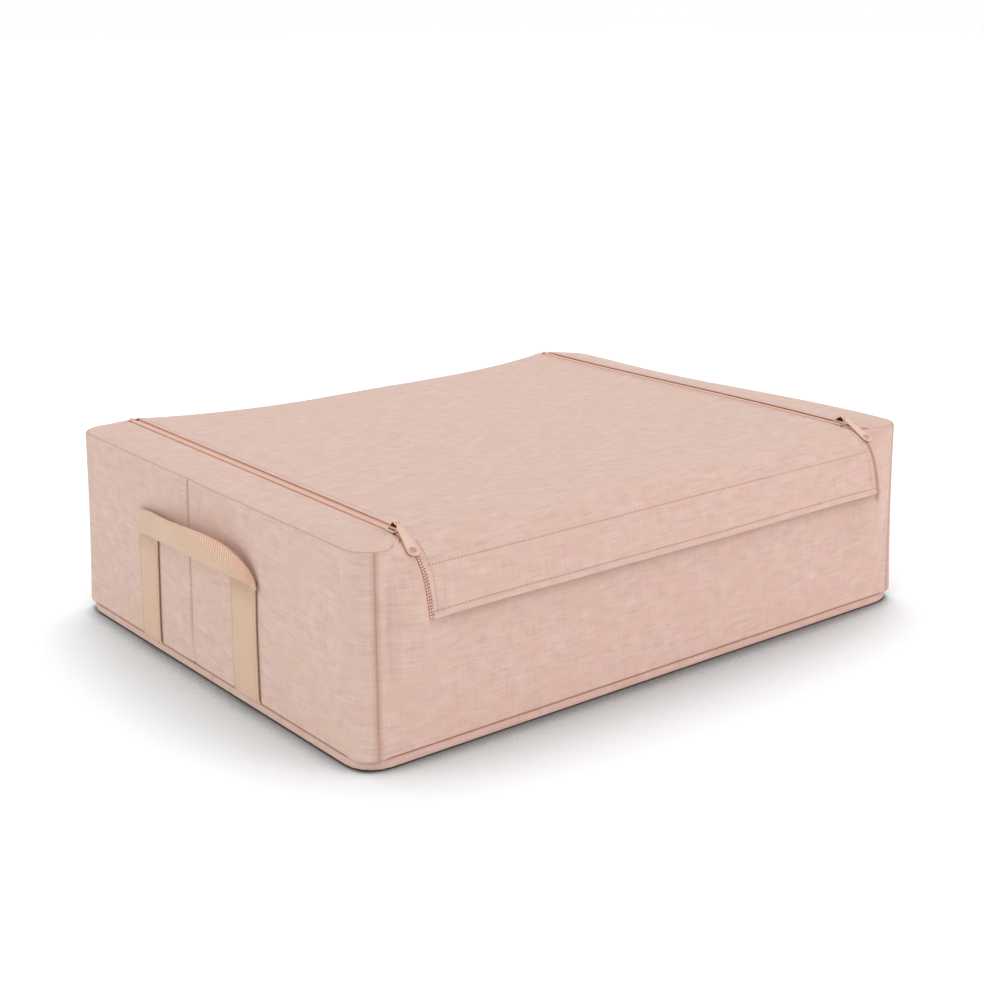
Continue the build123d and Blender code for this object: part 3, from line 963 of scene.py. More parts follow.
def wall_columns(side):
    """Stations along a wall, close together at seams, corners and the crease."""
    start, end = WALLS[side]
    first, last = start + 2.2 * MM, end - 2.2 * MM
    if side == "back":
        return ticks(start, 4, first, 5, RIGHT_END, 68, BACK_END, 5, last, 4, end)
    if side == "front":
        # zip ends: the strip's edge, then the cut-down part's edge
        near_zip = [FLAT_X - STRIP_X + step * MM for step in (0, 2, 2.7)]
        edges = [near_zip[0], 1, near_zip[1], 1, near_zip[2], 60]
        edges += [FRONT_END - near_zip[2], 1, FRONT_END - near_zip[1], 1, FRONT_END - near_zip[0]]
        return ticks(start, 4, first, 5, 0.0, 8, *edges, 8, FRONT_END, 5, last, 4, end)
    crease, round_end = CREASES[side], ARC - SEAM_ARC
    fold = [crease - 14 * MM, 5, crease - 4 * MM, 14, crease + 4 * MM, 5, crease + 14 * MM]
    return ticks(start, 4, first, 12, start + round_end, 20, *fold, 20, end - round_end, 12, last, 4, end)


WALL_ROWS = ticks(0.0, 5, 0.015, 4, 0.06, 26, 1.0, 3, 1.5, 4, 2.0)


def make_walls():
    """The four outer walls, their corner seams and the line of the top seam."""
    for side, (start, end) in WALLS.items():

        def keep(s, row, side=side):
            return not (side == "front" and row > 1.0 and abs(outline(s)[0]) < STRIP_X - 2.4 * MM)

        def place(s, row, side=side):
            return wall_spot(side, s, row)

        columns = wall_columns(side)
        skin = sheet_grid(f"{side}_wall_skin", columns, WALL_ROWS, place, "linen_cloth", 1.0 * MM, keep=keep)
        flat = (end - start, TOP - SEAM_Z + 4 * MM)
        area = flat[0] * flat[1] - 2 * STRIP_X * (TOP - NOTCH_Z) if side == "front" else None
        declare(skin, [f"{side}_wall_cloth"], "box", flat, "stretched")
    make_top_seam()


def seam_at(sign, s):
    """Top seam point; s is measured on the right-hand side and mirrored for the left."""
    wall = "front" if s < WALLS["front"][1] else "right" if s < WALLS["right"][1] else "back"
    if sign < 0:
        s = FRONT_END - s + (0.0 if wall == "front" else PERIMETER)
        wall = {"right": "left"}.get(wall, wall)
    return wall_spot(wall, s, 2.0)[0]


STRIP_START, STRIP_END = FRONT_END - (FLAT_X - STRIP_X), RIGHT_END + FLAT_X - STRIP_X


def make_top_seam():
    """Thread in the top seam, round each short side from the zip at the front to the rear."""
    runs = [[seam_at(sign, s) for s in ticks(STRIP_START, 420, STRIP_END)] for sign in (1, -1)]
    rear = [wall_spot("back", s, 2.0)[0] for s in ticks(STRIP_END, 120, BACK_END - (FLAT_X - STRIP_X))]
    for name, paths in (("top_seam", runs), ("hinge_seam", [rear])):
        declare(thread_line(name, paths, 0.36 * MM, "cloth_thread"), body="box")


def strip_height(x, y):
    """Height of the top strip's cloth at a place seen from above."""
    inset = HALF_LENGTH - abs(x)
    if abs(x) > FLAT_X and abs(y) > FLAT_Y:
        inset = CORNER - math.hypot(abs(x) - FLAT_X, abs(y) - FLAT_Y)
    if abs(x) <= FLAT_X:
        inset = min(inset, HALF_DEPTH - abs(y))
    own = sink(x, y)
    height = TOP - round_off(inset)
    height -= own + (side_drop(y) - own) * ease((x - STRIP_X) / (HALF_LENGTH - STRIP_X))
    share = ease(zip_side(x))
    if y < FOLD_Y and share:
        height += (rim_height(y) - height) * share
    return height


def through(marks, place):
    """A value between marks, each a place and its value."""
    for (low, first), (high, second) in zip(marks, marks[1:]):
        if place <= high:
            return first + (second - first) * max(0.0, (place - low) / (high - low))
    return marks[-1][1]


def make_strips():
    """The fixed margin of the top outside each zip, its inner edge folded over the zip tape."""
    # the inner edge, for places along the outer one: it closes in behind the zip
    inner_y = (
        (STRIP_START, side_spot(SEAM_RUN)[0]), (FRONT_END, -206 * MM), (FRONT_END + ARC, -198 * MM),
        (RIGHT_END - ARC, 198 * MM), (RIGHT_END, 212 * MM),
        (STRIP_END - 8 * MM, ZIP_REAR), (STRIP_END, REAR_SEAM_Y),
    )
    behind_zip = LID_X + 0.4 * MM
    inner_x = (
        (STRIP_START, STRIP_X), (STRIP_END - 9 * MM, STRIP_X),
        (STRIP_END - 7 * MM, behind_zip), (STRIP_END, behind_zip),
    )
    columns = ticks(0.0, 3, 0.04, 3, 0.15, 10, 0.88, 5, 1.0)
    corners = [FRONT_END, 12, FRONT_END + ARC, 60, RIGHT_END - ARC, 12, RIGHT_END]
    rows = ticks(STRIP_START + 0.6 * MM, 8, *corners, 12, STRIP_END)
    for side, sign in SIDES.items():

        def place(u, s, sign=sign):
            outer = seam_at(sign, s)
            x_in, y_in = through(inner_x, s), through(inner_y, s)
            width = abs(outer[0]) - x_in
            x = x_in + width * u
            y = y_in + (outer[1] - y_in) * u
            settle = outer[2] - strip_height(outer[0], outer[1])
            z = strip_height(sign * x, y) + settle * u**3
            across, edge = u * width, (1 - u) * width
            middle = ease(across / (9 * MM)) * ease(edge / (9 * MM))
            wave = (1.0 * MM + ripple(x, y, 11.0 + sign, 1.3)) * middle
            ends = ease((HALF_DEPTH - 6 * MM - abs(y)) / (14 * MM))
            z += (hem(across, 0.45 * MM) + wave) * ends - 0.3 * tuck(edge)
            # painted shade along the strip's outer seam and its inner edge over the zip
            dark = 0.2 * near(edge, 1.2 * MM) + 0.3 * near(across, 0.9 * MM)
            return (sign * x, y, z), (sign * x + 2.0 * sign, y), dark

        name = f"{side}_strip_skin"
        skin = sheet_grid(name, columns, rows, place, "linen_cloth", 1.1 * MM, flip=sign < 0)
        x = sign * (STRIP_X + HEM_STITCH)
        runs = ticks(-HALF_DEPTH + 30 * MM, 110, HALF_DEPTH - 12 * MM)
        line = [(x, y, strip_height(x, y) + 0.65 * MM) for y in runs]
        sewn = stitches(f"{side}_strip_stitches", [line], "box")
        flat = (HALF_LENGTH - STRIP_X, 2 * HALF_DEPTH)
        declare(
            skin, [f"{side}_top_strip"], "box", flat, "stretched"
        )


def lid_level(x, y):
    """Height of the lid cloth between the zips."""
    shape = bpy.context.scene.box_shape
    share = min(1.0, abs(x) / LID_X)
    front = ease((y - LID_FRONT + 30 * MM) / (130 * MM))
    rear = ease((y + 40 * MM) / (HALF_DEPTH + 40 * MM))
    hang = shape.lid_sag * front + (shape.rear_sag - shape.lid_sag) * rear
    sag = hang * (1 - share**2.4)
    inner = ease((LID_X - abs(x)) / (40 * MM))
    fade = ease((HALF_DEPTH - y) / (30 * MM))
    return TOP - sag + hem(LID_X - abs(x), 0.35 * MM) + inner * fade * ripple(x, y, 21.0, 1.2) - sink(x, y)


def lid_columns():
    """Stations across the lid and the flap, close together at their side hems."""
    inner, outer = LID_X - 9 * MM, LID_X - 1.6 * MM
    return ticks(-LID_X, 4, -outer, 4, -inner, 46, inner, 4, outer, 4, LID_X)


def make_lid():
    """Lid cloth from the rear seam to the front, where the flap goes on from it, and the lining under it."""
    last = REAR_SEAM_Y
    rows = ticks(FOLD_Y, 36, HALF_DEPTH - 14 * MM, 5, HALF_DEPTH - 4.5 * MM, 5, last)

    def place(x, y):
        z = lid_level(x, y) - round_off(HALF_DEPTH - y) - tuck(last - y)
        # painted shade at the rear seam and along the side edges
        dark = 0.2 * near(last - y, 1.2 * MM) + 0.06 * near(LID_X - abs(x), 0.7 * MM)
        return (x, y, z), (x, y), dark

    skin = sheet_grid("lid_skin", lid_columns(), rows, place, "linen_cloth", 1.1 * MM)
    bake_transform(skin)
    runs = ticks(FOLD_Y, 110, HALF_DEPTH - 20 * MM)
    hem_x = LID_X - HEM_STITCH
    lines = [[(x, y, lid_level(x, y) + 0.05 * MM) for y in runs] for x in (-hem_x, hem_x)]
    sewn = stitches("lid_stitches", lines, "lid")
    flat = (2 * LID_X, HALF_DEPTH - FOLD_Y)
    declare(skin, ["lid_panel"], None, flat, "stretched")
    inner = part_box("lid_lining")[1][X]
    front, rear = LID_FRONT + 40 * MM, HALF_DEPTH - 18 * MM  # clear of the bends at the rim and the hinge

    def under(x, y):
        z = lid_level(x, y) - 1.6 * MM - 0.6 * MM * ease((inner - abs(x)) / (30 * MM))
        # painted shade along the lining's side edges
        return (x, y, z), (x + 3.0, y), 0.3 * near(inner - abs(x), 1.5 * MM)

    columns = ticks(-inner, 3, -inner + 3 * MM, 40, inner - 3 * MM, 3, inner)
    rows = ticks(front, 36, rear)
    back = sheet_grid("lid_lining_skin", columns, rows, under, "lining_cloth", 0.6 * MM, 0.2 * MM)
    flat = (2 * inner, rear - front)
    declare(back, ["lid_lining"], "lid", flat, "stretched")


def flap_spot(x, run, out=0.0):
    """A point of the flap, out above its profile."""
    y, z, _ = side_spot(run, out)
    return (x, y, z)


def flap_wide(x, run):
    """The flap is cut a little wider than the lid, so that its edge lies beside the zip's coil."""
    return x * (1 + 5.5 * MM / LID_X * ease((run - 44 * MM) / (22 * MM)))


def flap_relief(x, run):
    """Height of the flap's cloth above its profile: hems, stitch lines, waves, the lid's sag at its root."""
    shape = bpy.context.scene.box_shape
    upper, lower = FLAP_RUN - shape.hem_height, FLAP_RUN - shape.edge_stitch
    edge = LID_X - abs(x)
    down = ease((run - 40 * MM) / (40 * MM))
    body = ease(edge / (60 * MM)) * (ripple(x, run, 31.0, 1.5) + 1.5 * MM * math.sin(x / 0.06 + 1) * down)
    puff = 0.0
    if run > upper:
        share = (run - upper) / (lower - upper)
        puff = 0.25 * MM + 0.6 * MM * math.sin(math.pi * min(1.0, share)) ** 0.5
        if run > lower:
            share = 0.2 + 0.8 * (run - lower) / (FLAP_RUN - lower)
            puff = 0.25 * MM + 0.7 * MM * math.sin(math.pi * share)
    puff -= sum(tuck(abs(run - line), 0.4 * MM, 1.8 * MM) for line in (upper, lower))
    own = hem(edge, 0.35 * MM) + body + puff
    root = 1 - ease((run - 10 * MM) / (45 * MM))
    return own + (lid_level(x, FOLD_Y - run) - TOP - own) * root


def make_flap():
    """The flap over the front rim, with its hem, stitch rows and the facing behind it."""
    shape = bpy.context.scene.box_shape
    end = FLAP_RUN
    upper, lower = end - shape.hem_height, end - shape.edge_stitch
    side = 2 * MM
    rows = ticks(
        0.0, 12, 38 * MM, 26, upper - side, 3, upper, 3, upper + side, 12, lower - side, 3, lower, 3,
        lower + side, 3, end - 0.8 * MM, 2, end,
    )

    def place(x, run):
        off_line = min(abs(run - upper), abs(run - lower))
        # painted shade along the stitch lines and the side edges
        dark = 0.09 * near(off_line, 1.2 * MM) + 0.06 * near(LID_X - abs(x), 0.7 * MM)
        return flap_spot(flap_wide(x, run), run, flap_relief(x, run)), (x, FOLD_Y - run), dark

    skin = sheet_grid("flap_skin", lid_columns(), rows, place, "linen_cloth", 1.3 * MM, flip=True)
    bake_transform(skin)

    def laid(x, run):
        return flap_spot(flap_wide(x, run), run, flap_relief(x, run) + 0.12 * MM)

    across = ticks(-LID_X + 4 * MM, 200, LID_X - 4 * MM)
    lines = [[laid(x, run) for x in across] for run in (upper, lower)]
    sewn = stitches("flap_stitches", lines, "flap", "stitch_thread", pitch=3.4 * MM)
    runs = ticks(end - 7 * MM, 60, 62 * MM)
    hem_x = LID_X - HEM_STITCH
    lines = [[laid(x, run) for run in runs] for x in (-hem_x, hem_x)]
    edges = stitches("flap_edge_stitches", lines, "flap")
    declare(
        skin, ["flap_panel"], None, (2 * LID_X, end), "hung"
    )
    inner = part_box("flap_facing")[1][X]
    first, last = 62 * MM, end - 3 * MM

    def under(x, run):
        return flap_spot(x, run, flap_relief(x, run) - 1.9 * MM), (x + 5.0, -run), 0.0

    columns, rows = ticks(-inner, 44, inner), ticks(first, 26, last)
    thin = (0.6 * MM, 0.2 * MM)
    facing = sheet_grid("flap_facing_skin", columns, rows, under, "lining_cloth", *thin, flip=True)
    flat = (2 * inner, last - first)
    declare(facing, ["flap_facing"], "flap", flat, "hung")


# ---------------------------------------------------------------------- zips
def zip_path(low, high, rear, under):
    """A side of the zip in side view: up the flap's profile between two distances, then to the rear."""
    spots = [side_spot(run, -under)[:2] for run in ticks(low, 50, high)]
    if rear is not None:
        spots += [(y, TOP - under) for y in ticks(spots[-1][0], 90, rear)[1:]]
    return spots


def tape_piece(name, spots, x_in, x_out, sign, shade_line_at, deep=0.08, taper=1.0):
    """A woven tape along a side-view path, between two distances from the middle; taper narrows its foot."""
    runs = lengths(spots)
    columns = ticks(x_in, 8, x_out)

    def place(x, row):
        y, z = spots[int(row)]
        # painted shade beside the cloth edge that overhangs the tape
        dark = deep * bell(x - shade_line_at, 0.9 * MM)
        share = 1 - (1 - taper) * ease((-185 * MM - y) / (30 * MM))
        across = sign * (x_in + (x - x_in) * share)
        return (across, y, z - sink(across, y)), (x, runs[int(row)]), dark

    rows = list(range(len(spots)))
    piece = sheet_grid(name, columns, rows, place, "zip_tape", 0.7 * MM, 0.2 * MM, flip=sign < 0)
    return piece, (x_out - x_in, runs[-1])


def coil_row(name, spots, x, sign):
    """One row of zip coil."""
    pitch = bpy.context.scene.box_shape.bead_pitch
    path = [(sign * x, y, z - sink(sign * x, y)) for y, z in spots]
    sizes = {"Pitch": pitch, "Length": pitch * 1.02, "Width": 2.1 * MM, "Height": 2.3 * MM, "Segments": 8}
    return lay_along(name, [path], "zip_coil", Unevenness=0.03, **sizes)


def make_zips():
    """Tapes and coil rows of both zips: on the body, on the lid and down the flap's sides."""
    rim = 38 * MM  # the zip's front part ends this far down the profile
    coil_off, tape_off = 0.95 * MM, 0.1 * MM  # from the zip's middle
    tape_end = FLAP_RUN - 1 * MM
    coil_end = tape_end - bpy.context.scene.box_shape.bead_pitch / 2
    fixed = {
        "tape": zip_path(FOOT_RUN, rim, ZIP_REAR, 1.4 * MM),
        "coil": zip_path(FOOT_RUN, rim, ZIP_REAR, 0.9 * MM),
    }
    lid = {
        "tape": [(y, TAPE_TOP) for y in ticks(LID_TAPE_FRONT - 7.5 * MM, 60, ZIP_REAR - 0.5 * MM)],
        "coil": [(y, TOP - 0.9 * MM) for y in ticks(LID_TAPE_FRONT - 6.5 * MM, 60, ZIP_REAR - 1 * MM)],
    }
    flap = {
        "tape": zip_path(tape_end, rim + 2.5 * MM, None, 1.0 * MM),
        "coil": zip_path(coil_end, rim + 3 * MM, None, 0.7 * MM),
    }
    outer = (ZIP_X + tape_off, TAPE_OUT_X)
    inner = (TAPE_IN_X, ZIP_X - tape_off)
    for side, sign in SIDES.items():
        # each row's shade: where a line of painted shade lies beside a cloth edge, how dark it is, and the
        # fixed tape's taper
        rows = (
            ("fixed", fixed, outer, (STRIP_X - 0.4 * MM, 0.45, 0.5), "box", "folded", f"{side}_wall_skin"),
            ("lid", lid, inner, (LID_X + 0.4 * MM,), "lid", "laid", "lid_skin"),
            ("flap", flap, inner, (LID_X + 0.4 * MM,), "flap", "hung", "flap_skin"),
        )
        for part, paths, reach, shade, body, held, rests in rows:
            name = f"{side}_{part}"
            tape, flat = tape_piece(name + "_tape", paths["tape"], *reach, sign, *shade)
            x = ZIP_X + (coil_off if part == "fixed" else -coil_off)
            coil = coil_row(name + "_coil", paths["coil"], x, sign)
            declare(coil, [name + "_zip_coil"], body)
            declare(tape, [name + "_zip_tape"], body, flat, held)


def solid_outline(name, points, low, high, finish, edge=0.3 * MM, segments=2, upright=False):
    """A flat plate with rounded edges from its outline seen from above, or from the side if upright."""
    count = len(points)
    verts = [(level, a, b) if upright else (a, b, level) for level in (low, high) for a, b in points]
    faces = [list(range(count))[::-1], list(range(count, 2 * count))]
    faces += [(k, (k + 1) % count, count + (k + 1) % count, count + k) for k in range(count)]
    piece = add(name, new_mesh(name, verts, faces), finish)
    soften(piece, edge, segments, 50).harden_normals = True
    return piece


def joined(name, pieces):
    """Several solids as one plain mesh, each keeping its finish."""
    verts, faces, marks, finishes = [], [], [], []
    for piece in pieces:
        mesh = evaluated(piece)
        own = mesh.materials[0]
        if own not in finishes:
            finishes.append(own)
        first = len(verts)
        verts += [vertex.co.copy() for vertex in mesh.vertices]
        for polygon in mesh.polygons:
            faces.append([first + index for index in polygon.vertices])
            marks.append(finishes.index(own))
        bpy.data.meshes.remove(mesh)
    for piece in pieces:
        bpy.data.objects.remove(piece)
    mesh = new_mesh(name, verts, faces)
    for own in finishes:
        mesh.materials.append(own)
    mesh.polygons.foreach_set("material_index", marks)
    mesh.update()
    return linked(name, mesh)


def rounded_outline(half_x, half_y, radius, steps=6, waist=0.0):
    """A rounded rectangle, drawn in at its middle by waist."""
    spots = []
    for cx, cy, turn in ((1, -1, -90), (1, 1, 0), (-1, 1, 90), (-1, -1, 180)):
        for k in range(steps + 1):
            angle = math.radians(turn + 90 * k / steps)
            x = cx * (half_x - radius) + radius * math.cos(angle)
            y = cy * (half_y - radius) + radius * math.sin(angle)
            spots.append((x - math.copysign(waist, x) * (1 - abs(y) / half_y) ** 2, y))
    return spots


def make_sliders():
    """Enamelled zip sliders: two shield plates, side rails, dark channels and an arch for the pull."""
    middle = (SLIDER[0] + SLIDER[1]) / 2
    half_x, half_y, _ = (SLIDER[1] - SLIDER[0]) / 2
    low, plate = SLIDER[0][Z], 1.2 * MM
    deck = low + 5.5 * MM
    for side, sign in SIDES.items():
        cx, cy = sign * middle[X], middle[Y]
        pieces = []

        def block(off, size, radius, steps, low, high, finish="zip_enamel", waist=0.0, **edges):
            """A rounded plate at an offset across."""
            spots = [(cx + off + x, cy + y) for x, y in rounded_outline(*size, radius, steps, waist)]
            return solid_outline("block", spots, low, high, finish, **edges)

        whole, neck = (half_x, half_y), (half_x - 2.6 * MM, half_y - 2.6 * MM)
        shield = {"waist": 0.8 * MM}
        pieces.append(block(0, whole, 2.6 * MM, 6, low, low + plate, edge=0.4 * MM, segments=3, **shield))
        pieces.append(block(0, neck, 1.3 * MM, 6, low + plate, deck - plate, **shield))
        pieces.append(block(0, whole, 2.6 * MM, 6, deck - plate, deck, edge=0.35 * MM, segments=3, **shield))
        for edge in (-1, 1):
            # near-black wells: painted shade in the slider's channels
            well, at = (1.05 * MM, 4.3 * MM), edge * 2.4 * MM
            span = (deck - 0.3 * MM, deck + 0.06 * MM)
            pieces.append(block(at, well, 0.8 * MM, 4, *span, "zip_throat", edge=0.02 * MM, segments=1))
            rail, at = (0.55 * MM, half_y - 1.3 * MM), edge * (half_x - 0.9 * MM)
            pieces.append(block(at, rail, 0.5 * MM, 3, deck - plate - 1.0 * MM, deck + 0.5 * MM))
        pin_y, pin_z = cy + PIN[Y], SLIDER[1][Z] + PIN[Z]
        arch = [(4.9, -0.4), (4.7, 1.2), (3.5, 3.0), (1.2, 4.8), (-1.4, 6.1)]
        arch = [(cy + y * MM, deck + z * MM) for y, z in arch]
        arch += [(pin_y + y * MM, pin_z + z * MM) for y, z in ((0.4, 0.15), (-0.6, -0.2), (-1.1, -1.2))]
        arch += [(pin_y - 1.3 * MM, deck + z * MM) for z in (2.6, -0.4)]
        pieces.append(bar_loop("arch", [(cx, y, z) for y, z in arch], 2.3 * MM, 1.7 * MM, "zip_enamel"))
        pieces.append(block(0, (0.8 * MM, 4.4 * MM), 0.5 * MM, 3, deck - 0.2 * MM, deck + 1.5 * MM))
        # a near-black sheet under the arch: painted shade in the gap beneath it
        half, inset = 0.3 * MM, 0.3 * MM
        shade_web = [(y - inset * (1 if y > cy else -1), z - inset) for y, z in arch]
        shade_web = solid_outline("shade_web", shade_web, cx - half, cx + half, "zip_throat", 0.02 * MM, 1, upright=True)
        body = joined(f"{side}_slider_body", [*pieces, shade_web])
        declare(body, [f"{side}_slider"], f"{side}_slider")
        stop_low, stop_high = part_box(f"{side}_zip_stop")
        x, y, _ = (stop_low + stop_high) / 2
        stop = [(x + dx, y + dy) for dx, dy in rounded_outline(1.6 * MM, 1.5 * MM, 0.6 * MM, 3)]
        levels = (stop_low[Z] - sink(x, y), stop_high[Z] - sink(x, y))
        clip = solid_outline(f"{side}_rear_stop", stop, *levels, "zip_enamel", 0.4 * MM, 3)
        declare(clip, [f"{side}_zip_stop"], "box")


def bar_loop(name, spots, width, height, finish):
    """A rounded bar bent along spots that lie in one upright plane."""
    made = thread_line(name, [spots], height / 2, finish, 3)
    middle = spots[0][X]
    for vertex in made.data.vertices:
        vertex.co.x = middle + (vertex.co.x - middle) * width / height
    return made


def circle(x, y, radius, steps):
    """Spots round a circle, the last on the first."""
    turns = [2 * math.pi * k / steps for k in range(steps + 1)]
    return [(x + radius * math.cos(turn), y + radius * math.sin(turn)) for turn in turns]


def make_pulls():
    """Enamelled pulls: a tapered tab with a rolled border, a dimple near its end, a ring at its root."""
    middle = (SLIDER[0] + SLIDER[1]) / 2
    droop = math.radians(30.5)
    reach, root, wide = 34.0 * MM, 5.6 * MM, 10.4 * MM
    shoulder_y = -5.6 * MM
    tip = reach - wide / 2
    for side, sign in SIDES.items():
        lean = sign * 3.6 * MM
        pin = (sign * middle[X], middle[Y] + PIN[Y], SLIDER[1][Z] + PIN[Z])

        def border(inset, lean=lean):
            r = wide / 2 - inset
            turns = [math.pi * k / 16 for k in range(17)]
            spots = [(lean - r * math.cos(turn), -tip - r * math.sin(turn)) for turn in turns]
            half, neck, neck_y = root / 2 - inset, 1.5 * MM - inset * 0.4, -3.2 * MM - inset
            spots += [(lean * 0.16 + half, shoulder_y), (neck, neck_y)]
            return spots + [(-neck, neck_y), (lean * 0.16 - half, shoulder_y)]

        # the tab's section in mm, bottom to top: inset from its border, and height
        levels = [(0.35, -0.7), (0.0, -0.45), (0.0, 0.45), (0.3, 0.72), (0.85, 0.74)]
        levels += [(1.15, 0.3), (1.5, 0.28)]
        loops = [[(x, y, z * MM) for x, y in border(inset * MM)] for inset, z in levels]
        count = len(loops[0])
        faces = [list(range(count))]
        for base in range(0, (len(loops) - 1) * count, count):
            pairs = [(base + (k + 1) % count, base + k) for k in range(count)]
            faces += [(after, here, here + count, after + count) for after, here in pairs]
        faces.append(list(range((len(loops) - 1) * count, len(loops) * count))[::-1])
        tab = add("tab", new_mesh("tab", [spot for loop in loops for spot in loop], faces), "zip_enamel")
        rim = [(x, y, 0.5 * MM) for x, y in circle(lean, -tip, 2.9 * MM, 24)]
        rim = thread_line("rim", [rim], 0.34 * MM, "zip_enamel")
        # the dimple is a flat darker disc inside the raised ring: painted shade in place of a hollow
        dimple_shade = circle(lean, -tip, 2.4 * MM, 14)[:-1]
        dimple_shade = solid_outline("dimple_shade", dimple_shade, 0.3 * MM, 0.43 * MM, "cloth_thread", 0.02 * MM, 1)
        eye = [(x, y, 0.0) for y, x in circle(-1.1 * MM, 0.0, 2.3 * MM, 24)]
        eye = thread_line("eye", [eye], 0.68 * MM, "zip_enamel")
        piece = joined(f"{side}_pull_tab", [tab, rim, dimple_shade, eye])
        turn = Matrix.Translation(pin) @ Matrix.Rotation(droop, 4, "X")
        piece.data.transform(turn)
        declare(piece, [f"{side}_pull"], f"{side}_pull")


# ------------------------------------------------------------------- handles
def make_handles():
    """Webbing legs sewn to the short sides, and the grip that bends out from them."""
    rib_pitch = bpy.context.scene.box_shape.rib_pitch
    thick, tab = 2.0 * MM, 6.5 * MM
    for side, sign in SIDES.items():
        for end, width in LEG_WIDTH.items():
            node = f"{side}_{end}_handle_leg"
            low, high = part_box(node)
            slant = 4.5 * MM if end == "rear" else 0.0

            def spot_y(u, z, y=low[Y] + LEG_SHIFT[end], width=width, slant=slant):
                return y + u * width - slant * (z - SEAM_Z) / (LEG_TOP - SEAM_Z)

            def place(u, z, width=width, side=side, sign=sign, spot_y=spot_y):
                y = spot_y(u, z)
                rib = 0.05 * MM * math.cos(2 * math.pi * z / rib_pitch)
                edge = min(u, 1 - u) * width
                out = thick - tuck(edge, 0.5 * MM, 1.2 * MM) + rib
                out -= 1.2 * MM * (1 - ease((z - SEAM_Z) / (5 * MM)))
                # painted shade along the leg's front edge and below the grip
                dark = max(0.8 * ease(1 - u * width / (1.2 * MM)), 0.2 * ease((z - 84 * MM) / (24 * MM)))
                return (sign * (leg_base(side, y, z) + out), y, z), (u * width, z), dark

            columns = ticks(0.0, 4, 0.04, 10, 0.96, 4, 1.0)
            rows = ticks(low[Z] + 0.2 * MM, 138, high[Z] + tab)
            solid = (1.8 * MM, 0.3 * MM)
            leg = sheet_grid(f"{side}_{end}_leg", columns, rows, place, "webbing", *solid, flip=sign < 0)
            lines = []
            for u in (0.09, 0.91):
                spots = [(spot_y(u, z), z) for z in ticks(low[Z] + 2 * MM, 40, high[Z] - 4 * MM)]
                lines.append([(sign * (leg_base(side, y, z) + thick + 0.02 * MM), y, z) for y, z in spots])
            sewn = stitches(f"{side}_{end}_leg_stitches", lines, "box")
            flat = (width, rows[-1] - rows[0])
            declare(leg, [node], "box", flat, "laid")
        make_grip(side, sign)


# Stations of the grip, front to rear, in mm: y, its lower edge's distance out and z, its upper edge's
GRIP = (
    (-87.5, 2.4, 104.0, 2.4, 108.0),
    (-83.5, 4.0, 108.0, 3.2, 118.0),
    (-74.5, 7.5, 111.0, 6.0, 128.5),
    (-59.0, 11.5, 113.0, 9.5, 135.0),
    (-37.0, 15.0, 114.5, 12.0, 138.0),
    (-12.0, 16.0, 115.5, 13.5, 138.0),
    (12.0, 15.5, 115.0, 13.5, 136.5),
    (36.0, 12.5, 112.5, 11.5, 134.0),
    (59.0, 8.5, 109.5, 7.5, 131.5),
    (77.0, 5.0, 107.0, 4.6, 129.5),
    (90.0, 3.2, 105.5, 3.2, 128.0),
    (100.5, 2.6, 104.5, 2.6, 127.0),
)
LEG_SHIFT = {"front": -15.5 * MM, "rear": -9 * MM}
LEG_WIDTH = {"front": 40 * MM, "rear": 33.5 * MM}
GRIP_CUT = (28 * MM, 205 * MM)  # width and length of the grip's webbing


def smooth_through(values, share):
    """A smooth value along evenly numbered stations."""
    last = len(values) - 1
    spot = within(share) * last
    k = min(int(spot), last - 1)
    t = spot - k
    p = [values[min(max(k + j, 0), last)] for j in (-1, 0, 1, 2)]
    a = 2 * p[1]
    b = (p[2] - p[0]) * t
    c = (2 * p[0] - 5 * p[1] + 4 * p[2] - p[3]) * t * t
    d = (3 * p[1] - 3 * p[2] + p[3] - p[0]) * t**3
    return (a + b + c + d) / 2


def grip_spot(side, sign, u, v):
    """A point of the grip: v runs from its front end to its rear end, u from its lower to its upper edge."""
    u, v = within(u), within(v)
    station = [smooth_through(values, v) * MM for values in zip(*GRIP)]
    y, out_low, z_low, out_high, z_high = station
    out = out_low + (out_high - out_low) * u + 0.8 * MM * math.sin(math.pi * u)
    z = z_low + (z_high - z_low) * u
    return Vector((sign * (HALF_LENGTH + stand_off(side, y, min(z, TOP - 20 * MM)) + out), y, z))


def bent(u, v):
    """1 where the grip turns up at its front, so that its ribs open, from its upper edge down to a point."""
    return ease((0.13 + 0.42 * u - v) / 0.045) * ease((v - 0.02) / 0.05)


